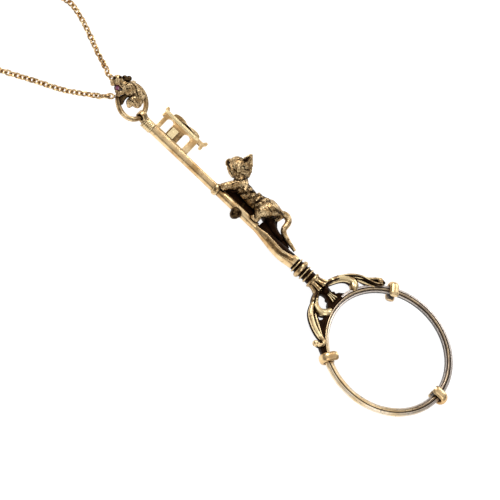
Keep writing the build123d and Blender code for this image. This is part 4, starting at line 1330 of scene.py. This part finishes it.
CAT_LIMBS = (
    (
        (0.09, 0.315, 0.04, 0.07), (0.13, 0.285, 0.04, 0.098), (0.20, 0.25, 0.035, 0.1),
        (0.28, 0.236, 0.035, 0.094), (0.36, 0.232, 0.035, 0.092), (0.48, 0.258, 0.035, 0.12),
        (0.61, 0.29, 0.035, 0.142), (0.72, 0.32, 0.035, 0.1), (0.77, 0.345, 0.035, 0.055),
    ),
    ((0.07, 0.38, 0.045, 0.085), (0.11, 0.34, 0.04, 0.085), (0.15, 0.30, 0.035, 0.09)),
    ((0.16, 0.345, 0.06, 0.022), (0.20, 0.28, 0.125, 0.03), (0.235, 0.2, 0.125, 0.028)),
    ((0.235, 0.34, 0.05, 0.022), (0.275, 0.275, 0.12, 0.03), (0.30, 0.19, 0.115, 0.028)),
    ((0.31, 0.33, 0.05, 0.022), (0.345, 0.265, 0.118, 0.03), (0.37, 0.19, 0.11, 0.028)),
    ((0.39, 0.35, 0.06, 0.022), (0.42, 0.285, 0.135, 0.032), (0.435, 0.2, 0.13, 0.03)),
    (
        (0.17, 0.27, 0.085, 0.075), (0.12, 0.21, 0.095, 0.066), (0.07, 0.145, 0.1, 0.056),
        (0.03, 0.085, 0.095, 0.05), (0.005, 0.045, 0.09, 0.05),
    ),
    ((-0.008, 0.045, 0.115, 0.024), (-0.018, 0.02, 0.115, 0.022)),
    ((-0.018, 0.045, 0.085, 0.024), (-0.028, 0.025, 0.085, 0.022)),
    (
        (0.63, 0.265, 0.10, 0.12), (0.60, 0.205, 0.112, 0.1), (0.565, 0.14, 0.112, 0.074),
        (0.565, 0.08, 0.1, 0.054), (0.58, 0.035, 0.09, 0.048),
    ),
    ((0.56, 0.028, 0.09, 0.036), (0.535, 0.015, 0.09, 0.03)),
)
# Painted shade: the cat's far legs, black.
CAT_SHADE_LIMBS = (
    (
        (0.16, 0.23, 0.0, 0.066), (0.10, 0.13, -0.03, 0.05), (0.05, 0.07, -0.045, 0.044),
        (0.03, 0.045, -0.05, 0.04),
    ),
    (
        (0.66, 0.25, -0.005, 0.1), (0.75, 0.19, -0.015, 0.07), (0.86, 0.14, -0.005, 0.052),
        (0.97, 0.115, 0.01, 0.042),
    ),
)
CAT_TAIL = (
    (0.74, 0.36, 0.035, 0.05), (0.79, 0.405, 0.035, 0.048), (0.85, 0.415, 0.035, 0.046),
    (0.90, 0.375, 0.035, 0.044), (0.915, 0.31, 0.035, 0.042), (0.915, 0.245, 0.035, 0.04),
    (0.95, 0.195, 0.03, 0.037), (1.02, 0.17, 0.028, 0.034), (1.10, 0.15, 0.02, 0.03),
    (1.21, 0.13, 0.01, 0.022),
)
# Black plates of painted shade between the cat and the stem, as shares along the stem and away from it
CAT_SHADE_PLATES = (
    ((-0.01, 0.03), (0.03, 0.09), (0.12, 0.19), (0.3, 0.21), (0.45, 0.21), (0.56, 0.15), (0.6, 0.03)),
    (
        (0.66, 0.04), (0.67, 0.16), (0.70, 0.28), (0.78, 0.31), (0.82, 0.24), (0.88, 0.16), (0.96, 0.155),
        (1.05, 0.135), (1.13, 0.11), (1.12, 0.06), (0.9, 0.03),
    ),
)

# Dark bands, patina in the fur and painted shade such as under the cheek: ends and half width, in pixels
# right of and above the photograph's middle
CAT_BANDS = (
    ((-12, 56.2), (7, 59), 1.7), ((-5, 50.5), (12, 55), 1.1), ((1.5, 45), (15, 53), 1.8),
    ((5, 46), (3.5, 39), 1.2), ((3.5, 39), (5, 33), 1.0), ((26, 40), (34, 35), 1.8),
    ((13, 31), (29, 33), 2.0), ((-8, 76), (-2, 72), 1.5), ((-5, 81), (-1, 80), 0.9),
    ((-23, 87), (-20, 82), 0.9), ((-17, 71.6), (-10, 69.6), 1.5), ((-8, 70), (-3, 72), 1.1),
    ((12, 47), (20, 49.5), 0.7), ((8, 43), (11, 37), 0.6), ((17, 44), (22, 38), 0.7),
    ((-20, 79), (-17, 74), 0.6), ((-14, 90), (-8, 92), 0.6), ((-13, 62), (-6, 63.5), 0.6),
    ((-2, 66), (4, 61), 0.7), ((-18, 66), (-12, 68), 0.6), ((-17, 82), (-13, 78), 0.6),
    ((-9, 86), (-5, 88), 0.6), ((16, 50), (23, 46), 0.6),
)

# The head's forms: pixels right of and above its middle, millimetres nearer, and a radius
CAT_HEAD = (
    ((0, 0, 0, 2.5), (-2, 2.2, 0.1, 2.3)),
    ((-1.5, 1, 0.2, 2.35), (2.5, 0, 0.2, 2.1)),
    ((-6.6, -4.6, 1.0, 0.95), (-4.6, -6.6, 1.2, 0.9)),
    ((6.6, -4.6, 0.7, 0.95), (4.8, -7.0, 1.0, 0.9)),
    ((-2.2, -6.0, 1.8, 0.8), (-1.8, -6.6, 1.9, 0.78)),
    ((1.8, -6.8, 1.7, 0.75), (1.6, -7.4, 1.75, 0.7)),
    ((0.6, -9.2, 1.3, 0.7), (0.8, -9.8, 1.1, 0.6)),
    ((-0.8, 3.0, 2.3, 0.42), (-0.4, 0.0, 2.65, 0.42), (-0.2, -3.6, 2.75, 0.48)),
    ((-8.4, 2.4, 1.3, 0.32), (-6.0, 4.2, 1.75, 0.4), (-3.0, 2.8, 2.25, 0.36)),
    ((1.4, 2.2, 2.3, 0.36), (4.4, 3.2, 1.9, 0.4), (7.4, 1.2, 1.35, 0.32)),
    ((3.6, 6.8, 0.5, 0.55), (8.4, 10.2, 0.1, 0.42), (13.0, 13.2, -0.2, 0.2)),
    ((11.4, 1.4, 0.2, 0.6), (12.4, 7.0, 0.0, 0.42), (13.0, 13.2, -0.2, 0.2)),
    ((7.6, 4.2, 0.0, 0.7), (10.4, 7.8, -0.2, 0.5), (12.6, 11.8, -0.3, 0.22)),
    ((-7.4, 6.6, 0.5, 0.5), (-10.4, 7.6, 0.3, 0.42), (-12.8, 6.2, 0.1, 0.26)),
    ((-9.2, 0.8, 0.5, 0.5), (-12.0, 2.6, 0.3, 0.4), (-12.8, 6.2, 0.1, 0.26)),
    ((-8.6, 4.0, 0.1, 0.6), (-11.2, 4.8, 0.0, 0.4)),
    ((-7.4, 0.5, 0.2, 1.3), (-6.4, -3.4, 0.5, 1.25), (-5.2, -7.2, 0.6, 0.95)),
    ((10.9, 1.5, 0.0, 0.6), (10.6, -3.0, 0.0, 0.7), (8.4, -8.4, 0.3, 0.7)),
)
# The same for the black of the ears' hollows, painted shade, and for the eyes and the nose
CAT_HOLLOWS = (
    ((5.4, 6.6, 0.95, 0.5), (7.4, 8.6, 0.7, 0.42), (10.2, 11.2, 0.3, 0.14)),
    ((-9.6, 4.6, 1.0, 0.26), (-11.4, 5.4, 0.75, 0.12)),
)
CAT_EYES = ((-5.2, 0.9, 1.98), (4.5, 0.2, 1.98))
CAT_NOSE = (-0.1, -4.4, 2.85)


class GLASS_OT_cat(bpy.types.Operator):
    """Model the cat that climbs the stem"""

    bl_idname = "quizzing.cat"
    bl_label = "Cat"

    def execute(self, context):
        voxel = context.scene.glass_sizes.figure_voxel
        head_middle = cat_place(-0.02, 0.447, 0.05)

        limbs = [cat_limb(limb) for limb in CAT_LIMBS]
        limbs += [seen_limb(head_middle, limb) for limb in CAT_HEAD]
        cat = modelled(limbs, voxel, 3)
        grained(cat, 0.36, 0.28)
        paint(cat, "gilt_figure")
        # Dark bands: patina and painted shade.
        paint(cat, "gilt_dark", lambda place: seen_on_lines(place, CAT_BANDS))
        tail = limb_rod(cat_limb(CAT_TAIL), 5, 6)
        paint(tail, "gilt_figure")
        # Black pieces: painted shade for the far legs, the plates under the cat and the ears' hollows, and
        # the eyes and the nose.
        shade = modelled([cat_limb(limb) for limb in CAT_SHADE_LIMBS], voxel * 1.3, 3)
        grained(shade, 0.5, 0.2)
        dark = [shade]
        for corners in CAT_SHADE_PLATES:
            dark.append(plate([cat_place(along, up, 0) for along, up in corners], -0.35, 1.2))
        for limb in CAT_HOLLOWS:
            dark.append(limb_rod(seen_limb(head_middle, limb), 3, 4))
        for place in CAT_EYES:
            dark.append(ball(seen_from(head_middle, *place), 0.34, 1.3, 0.8, 14))
        dark.append(ball(seen_from(head_middle, *CAT_NOSE), 0.26, 1.2, 0.8, 12))
        for piece in dark:
            paint(piece, "gilt_black")
        cat = join(cat, tail, *dark)
        reshape(cat, flat_below)
        fit(cat, "cat_casting", None, "root", "figure_gold", "cat", 60)
        return {"FINISHED"}


MOUSE_LIMBS = (
    (
        (3.0, -0.05, 0.9, 0.6), (3.6, -0.1, 1.2, 1.25), (4.7, 0.0, 1.4, 1.6), (5.7, -0.5, 1.55, 1.55),
        (6.8, -0.95, 1.7, 1.45), (8.5, -0.95, 2.0, 1.25), (10.2, 0.1, 2.25, 1.0), (11.2, 0.8, 2.0, 0.9),
    ),
    ((8.4, -1.6, 1.7, 0.8), (8.2, -2.8, 1.2, 0.6), (7.8, -3.5, 0.75, 0.45)),
    ((4.6, 0.6, 1.0, 1.0), (4.9, 1.2, 0.6, 0.75), (4.2, 1.25, 0.25, 0.5)),
    ((4.2, -1.2, 1.0, 1.0), (3.8, -2.5, 0.7, 0.7), (3.4, -3.4, 0.6, 0.5)),
)

# More of the mouse: pixels right of and above its neck, millimetres nearer, and a radius
MOUSE_NECK = (11.2, 0.8, 2.0)
MOUSE_SEEN_LIMBS = (
    ((0.5, 0.5, 0.0, 1.1), (-2.4, 1.4, 0.1, 1.3)),
    ((-2.5, 0.8, 0.2, 1.2), (-5.2, -1.0, 0.3, 0.95), (-7.6, -3.2, 0.3, 0.5)),
    ((-6.4, 0.6, 0.3, 0.7), (-8.6, -1.2, 0.2, 0.4)),
    ((2.0, -2.0, -0.1, 1.1), (6.9, -5.9, -0.3, 1.4), (9.5, -10.0, -0.4, 1.4)),
    ((12.8, -5.8, -0.5, 1.1), (16.8, -10.8, -0.7, 1.15), (18.6, -16.8, -0.8, 1.1)),
    ((13.5, -19.0, -0.7, 1.4), (10.3, -20.8, -0.6, 1.15), (8.8, -24.6, -0.8, 0.6)),
    ((4.6, -8.8, 0.0, 0.6), (2.6, -11.6, 0.1, 0.62), (-1.4, -12.4, 0.1, 0.58), (-3.9, -10.4, 0.1, 0.4)),
)
# Painted shade: dark forms on the mouse where it lies in shade.
MOUSE_SEEN_SHADE = (
    ((8.8, -12.0, -0.6, 0.9), (4.6, -14.6, -0.7, 0.85), (2.2, -18.0, -0.9, 0.75), (1.2, -21.6, -1.2, 0.6)),
    ((3.4, 1.6, 0.3, 0.6), (4.6, 3.2, 0.2, 0.72)),
    ((7.0, 2.0, 0.1, 0.5), (9.0, 2.6, -0.1, 0.74)),
)
MOUSE_BANDS = (
    ((-117.8, 166.7), (-113.3, 162.2), 0.9), ((-130, 167.8), (-127.8, 163.3), 0.8),
    ((-123.3, 161.1), (-119.4, 161.7), 0.8), ((-124.4, 151.1), (-120, 155.6), 0.9),
    ((-114.4, 162.2), (-111.7, 153.3), 0.7), ((-116, 152), (-112.5, 147), 0.6),
    ((-120, 150), (-116, 147), 0.6), ((-135, 166), (-133, 163), 0.8), ((-124, 165), (-121, 167), 0.6),
)
MOUSE_TAIL = ((2.9, -0.2, 0.9), (2.4, -1.3, 0.7), (2.9, -2.6, 0.75), (4.2, -3.5, 0.8), (5.8, -3.65, 0.85))
MOUSE_EYES = ((-5.7, 3.0, 0.95), (0.2, 3.9, 1.05))


class GLASS_OT_mouse(bpy.types.Operator):
    """Model the mouse on the bow"""

    bl_idname = "quizzing.mouse"
    bl_label = "Mouse"

    def execute(self, context):
        voxel = context.scene.glass_sizes.figure_voxel

        neck = on_bow(*MOUSE_NECK)
        limbs = [[(on_bow(*station[:3]), station[3]) for station in limb] for limb in MOUSE_LIMBS]
        limbs += [seen_limb(neck, limb) for limb in MOUSE_SEEN_LIMBS]
        mouse = modelled(limbs, voxel * 0.8, 3)
        grained(mouse, 0.3, 0.22)
        paint(mouse, "gilt_figure")
        paint(mouse, "gilt_dark", lambda place: seen_on_lines(place, MOUSE_BANDS))
        tail = rod([on_bow(*place) for place in MOUSE_TAIL], [0.32, 0.3, 0.27, 0.22, 0.12], sides=3)
        paint(tail, "gilt_figure")
        # Painted shade: the dark forms where the mouse lies in shade.
        shade = modelled([seen_limb(neck, limb) for limb in MOUSE_SEEN_SHADE], voxel, 2)
        paint(shade, "gilt_dark")
        eyes = [ball(seen_from(neck, *place), 0.36, segments=14) for place in MOUSE_EYES]
        for eye in eyes:
            paint(eye, "gilt_black")
        mouse = join(mouse, tail, shade, *eyes)
        fit(mouse, "mouse_casting", None, "bow", "figure_gold", "mouse", 60)
        return {"FINISHED"}


class GLASS_OT_bow(bpy.types.Operator):
    """Bend the bow ring and set the stone"""

    bl_idname = "quizzing.bow"
    bl_label = "Bow"

    def execute(self, context):
        middle = on_bow(BOW_RADIUS, 0, 0)
        ring = wire_ring(middle, BOW_NORMAL, 4.44, 0.67, 24, 120)

        def engrave(point):
            offset = point - middle
            above = offset.dot(BOW_NORMAL)
            radius = (offset - BOW_NORMAL * above).length / MM
            groove = math.exp(-(((radius - 4.75) / 0.1) ** 2)) if above > 0 else 0.0
            return point - BOW_NORMAL * groove * 0.14 * MM

        reshape(ring, engrave)
        fit(ring, "bow_wire", "gilt_ornament", "bow", "old_gold", "bow_ring")

        shift = seen_from(Vector((0, 0, 0)), 0.7, 1.7, 0.0)
        collet = softened("stone_collet", 0.06)
        reshape(collet, lambda point: point + shift)
        fit(collet, "collet_cup", "gilt_ornament", "bow", "old_gold", "stone_collet")
        out = (BOW_AHEAD * 0.5 + BOW_ACROSS * 0.6 + BOW_NORMAL * 0.6).normalized()
        stone_foot = on_bow(9.3, 1.7, 0.2) + out * 0.9 * MM + shift
        stone = lathe(((0.0, 0.5), (0.36, 0.6), (0.5, 0.58), (0.68, 0.34)), stone_foot, out, sides=10)
        fit(stone, "stone_cut", "stone_pink", "bow", "pink_glass", "pink_stone", 10)
        return {"FINISHED"}


# Chain

# Each strand's route in millimetres, from its ring to where its coil starts
UPPER_START = ((-60.5, 2.2, 4.3), (-62.2, 3.9, 2.9), (-64.6, 5.7, 1.6))
UPPER_ROUTE = (
    (-68.75, 8.26, 1.05), (-73.6, 10.44, 1.05), (-79.0, 12.0, 1.05), (-83.6, 9.3, 1.05),
    (-87.4, 6.1, 1.05), (-90.6, 4.1, 1.05), (-94.0, 4.1, 1.05),
)
LEFT_START = ((-55.9, -5.2, 5.6), (-57.0, -5.4, 4.1), (-58.9, -5.7, 2.5), (-61.2, -6.9, 1.3))
LEFT_ROUTE = (
    (-64.9, -9.6, 1.05), (-70.45, -12.69, 1.05), (-75.92, -16.05, 1.05), (-82.0, -19.7, 1.05),
    (-88.5, -22.9, 1.05), (-94.0, -25.0, 1.05), (-99.5, -25.0, 1.05),
)

# The coil: its outer radius, how much each half turn shrinks, its two layers and its half turns
COIL_RADIUS = 11.45
COIL_STEP = 1.225
COIL_LOW = 1.05
COIL_HIGH = 3.5
COIL_INWARD = 6
COIL_OUTWARD = 5
COIL_POINTS = 8
TAIL_RUN = 5.5


def coil_points(start):
    """Points of a coil wound inwards on the table and outwards on top, worked out turn by turn."""
    radii = [COIL_RADIUS - number * COIL_STEP for number in range(COIL_INWARD + 1)]
    radii = radii + [radii[-1] + (number + 1) * COIL_STEP for number in range(COIL_OUTWARD)]
    points = []
    x, y, _ = start
    for number, radius in enumerate(radii):
        side = 1 if number % 2 == 0 else -1
        centre_y = y + side * radius
        for step in range(1, COIL_POINTS + 1):
            swing = math.pi * step / COIL_POINTS
            if number < COIL_INWARD:
                height = COIL_LOW
            elif number == COIL_INWARD:
                height = COIL_LOW + (COIL_HIGH - COIL_LOW) * step / COIL_POINTS
            else:
                height = COIL_HIGH
            points.append(
                (x - side * radius * math.sin(swing), centre_y - side * radius * math.cos(swing), height)
            )
        y = y + side * 2 * radius
    return points


def tail_points(start):
    """The last stretch, which leaves the coil's top and comes down to the table."""
    x, y, z = start
    level = (x - TAIL_RUN, y, z)
    down = (x - 2 * TAIL_RUN, y, COIL_LOW)
    away = (x - 3 * TAIL_RUN, y, COIL_LOW)
    return [level, down, away]


def route_curve(name, points):
    """One smooth open curve with these points as its control points."""
    clear_selection()
    bpy.ops.curve.primitive_nurbs_path_add(location=(0, 0, 0))
    piece = bpy.context.object
    piece.name = name
    curve = piece.data
    curve.splines.clear()
    spline = curve.splines.new("NURBS")
    spline.points.add(len(points) - 1)
    for point, (x, y, z) in zip(spline.points, points):
        point.co = (x * MM, y * MM, z * MM, 1)
    spline.order_u = 3
    spline.use_endpoint_u = True
    spline.resolution_u = 12
    return piece


def centreline(piece):
    """The curve's own points, evenly close, as an array, and the curve taken away."""
    bpy.context.view_layer.update()
    graph = bpy.context.evaluated_depsgraph_get()
    mesh = bpy.data.meshes.new_from_object(piece.evaluated_get(graph))
    line = np.array([vertex.co for vertex in mesh.vertices], float)
    bpy.data.meshes.remove(mesh)
    bpy.data.objects.remove(piece)
    return line


def spaced(line, pitch):
    """Points at an even pitch along a line, with the direction at each."""
    steps = np.linalg.norm(np.diff(line, axis=0), axis=1)
    travelled = np.concatenate(([0.0], np.cumsum(steps)))
    count = max(1, int(round(travelled[-1] / pitch)))
    wanted = (np.arange(count) + 0.5) * travelled[-1] / count

    def at(lengths):
        return np.stack([np.interp(lengths, travelled, line[:, axis]) for axis in range(3)], axis=1)

    return at(wanted), at(wanted + pitch / 4) - at(wanted - pitch / 4)


LINK_STRETCH = 1.18


def link_form(sizes):
    """One chain link: an open ring of round wire, a little longer than wide, as points and faces."""
    clear_selection()
    wire = sizes.link_wire / 2 * MM
    bpy.ops.mesh.primitive_torus_add(
        major_radius=sizes.link_width / 2 * MM - wire,
        minor_radius=wire,
        major_segments=14,
        minor_segments=5,
    )
    piece = bpy.context.object
    points = np.array([vertex.co for vertex in piece.data.vertices], float)
    points[:, 0] *= LINK_STRETCH
    faces = [tuple(polygon.vertices) for polygon in piece.data.polygons]
    bpy.data.objects.remove(piece)
    return points, faces


def chain_mesh(name, line, sizes, seed):
    """Links threaded along a line, each turned a quarter from the one before, as one mesh."""
    chooser = random.Random(seed)
    points, faces = link_form(sizes)
    places, directions = spaced(line, sizes.link_pitch * MM)
    vertices = []
    polygons = []
    for number, (place, direction) in enumerate(zip(places, directions)):
        ahead = Vector(direction).normalized()
        level = Vector((0, 0, 1)).cross(ahead)
        if level.length < 0.1:
            level = Vector((0, 1, 0))
        level.normalize()
        above = ahead.cross(level)
        roll = (0.16 if number % 2 == 0 else 0.16 + math.pi / 2) + chooser.uniform(-0.16, 0.16)
        side = level * math.cos(roll) + above * math.sin(roll)
        out = ahead.cross(side)
        basis = np.array([list(ahead), list(side), list(out)])
        first = len(vertices)
        vertices.extend((points @ basis + place).tolist())
        polygons.extend(tuple(first + corner for corner in face) for face in faces)
    mesh = bpy.data.meshes.new(name)
    mesh.from_pydata(vertices, [], polygons)
    mesh.update()
    piece = bpy.data.objects.new(name, mesh)
    bpy.context.scene.collection.objects.link(piece)
    return dress(piece, name, "gilt_chain", 60)


# The links that follow the bow: their route from the bow on, and the seed of their turns
LEADS = {
    "upper_lead_links": (((-55.6, -0.2, 6.4), (-57.1, 0.0, 6.1), (-58.8, 0.5, 5.3), (-60.3, 2.0, 4.45)), 3),
    "left_lead_links": (((-54.5, -3.8, 6.1), (-55.3, -4.7, 5.9), (-55.85, -5.15, 5.65)), 4),
}

# Each strand's open run, the seed of its links' turns, its whole length in metres and what moves with it
STRANDS = {
    "upper": (
        UPPER_START + UPPER_ROUTE, 1, 0.3496,
        ("clasp_body", "clasp_lever", "clasp_pin", "clasp_spring", "upper_lead_links"),
    ),
    "left": (LEFT_START + LEFT_ROUTE, 2, 0.3608, ("catch_ring", "left_lead_links")),
}


class GLASS_OT_chain(bpy.types.Operator):
    """Thread the chain's links, its end rings and its clasp"""

    bl_idname = "quizzing.chain"
    bl_label = "Chain"

    def execute(self, context):
        sizes = context.scene.glass_sizes
        for node, bevel in (("clasp_body", 0.14), ("clasp_lever", 0.08), ("catch_ring", 0.08)):
            piece = softened(node, bevel)
            dress(piece, node.replace("clasp", "catch").replace("catch_ring", "end_loop"), "gilt_chain")
            settle(piece, "lever" if node == "clasp_lever" else "root", "chain_gold", node)
        for node, material in (("clasp_pin", "gilt_chain"), ("clasp_spring", "steel_strip")):
            mesh = frame["nodes"][node].data
            mesh.materials.clear()
            mesh.materials.append(bpy.data.materials[material])

        for node, turn in (("end_ring_upper", 3.5), ("end_ring_left", 37.0)):
            away = math.radians(turn)
            reach = 4.58
            middle = on_bow(BOW_RADIUS + reach * math.cos(away), reach * math.sin(away), 0)
            along_wire = BOW_AHEAD * -math.sin(away) + BOW_ACROSS * math.cos(away)
            ring = wire_ring(middle, along_wire, 1.02, 0.17, 10, 40)
            dress(ring, node.replace("end_ring", "jump_ring"), "gilt_chain")
            settle(ring, node.replace("end_ring_", "") + "_ring", "chain_gold", node)

        for name, (points, seed) in LEADS.items():
            line = centreline(route_curve(name + "_route", points))
            lead = chain_mesh(name, line, sizes, seed)
            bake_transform(lead)

        for side, (opening, seed, length, followers) in STRANDS.items():
            name = side + "_chain"
            coil = coil_points(opening[-1])
            points = list(opening) + coil + tail_points(coil[-1])
            line = centreline(route_curve(name + "_route", points))
            chain = chain_mesh(name, line, sizes, seed)
            settle(chain, "root", "chain_gold", "chain_" + side, "coil_" + side, "chain_tail_" + side)
        return {"FINISHED"}


# Panel and main

OPERATORS = (
    GLASS_OT_materials, GLASS_OT_stage, GLASS_OT_chain, GLASS_OT_lens, GLASS_OT_claws, GLASS_OT_openwork,
    GLASS_OT_neck, GLASS_OT_handle, GLASS_OT_stem, GLASS_OT_bit, GLASS_OT_bow, GLASS_OT_cat, GLASS_OT_mouse,
)


class GLASS_PT_panel(bpy.types.Panel):
    """Lists the quizzing glass's settings and pieces"""

    bl_idname = "GLASS_PT_panel"
    bl_label = "Quizzing Glass"
    bl_space_type = "VIEW_3D"
    bl_region_type = "UI"
    bl_category = "Quizzing Glass"

    def draw(self, context):
        layout = self.layout
        for group in (context.scene.glass_colours, context.scene.glass_sizes, context.scene.glass_stage):
            for name in group.bl_rna.properties.keys():
                if name not in ("rna_type", "name"):
                    layout.prop(group, name)
        for operator in OPERATORS:
            layout.operator(operator.bl_idname)


CLASSES = (GlassColours, GlassSizes, StageSettings, *OPERATORS, GLASS_PT_panel)


def register():
    """Register the classes and their settings."""
    for item in CLASSES:
        bpy.utils.register_class(item)
    bpy.types.Scene.glass_colours = PointerProperty(type=GlassColours)
    bpy.types.Scene.glass_sizes = PointerProperty(type=GlassSizes)
    bpy.types.Scene.glass_stage = PointerProperty(type=StageSettings)


def unregister():
    """Take the settings and the classes away again."""
    del bpy.types.Scene.glass_stage
    del bpy.types.Scene.glass_sizes
    del bpy.types.Scene.glass_colours
    for item in reversed(CLASSES):
        bpy.utils.unregister_class(item)


def main():
    """Make the whole picture."""
    register()
    for operator in OPERATORS:
        name = operator.bl_idname.split(".")[1]
        getattr(bpy.ops.quizzing, name)()
    clear_selection()


if __name__ == "__main__":
    main()
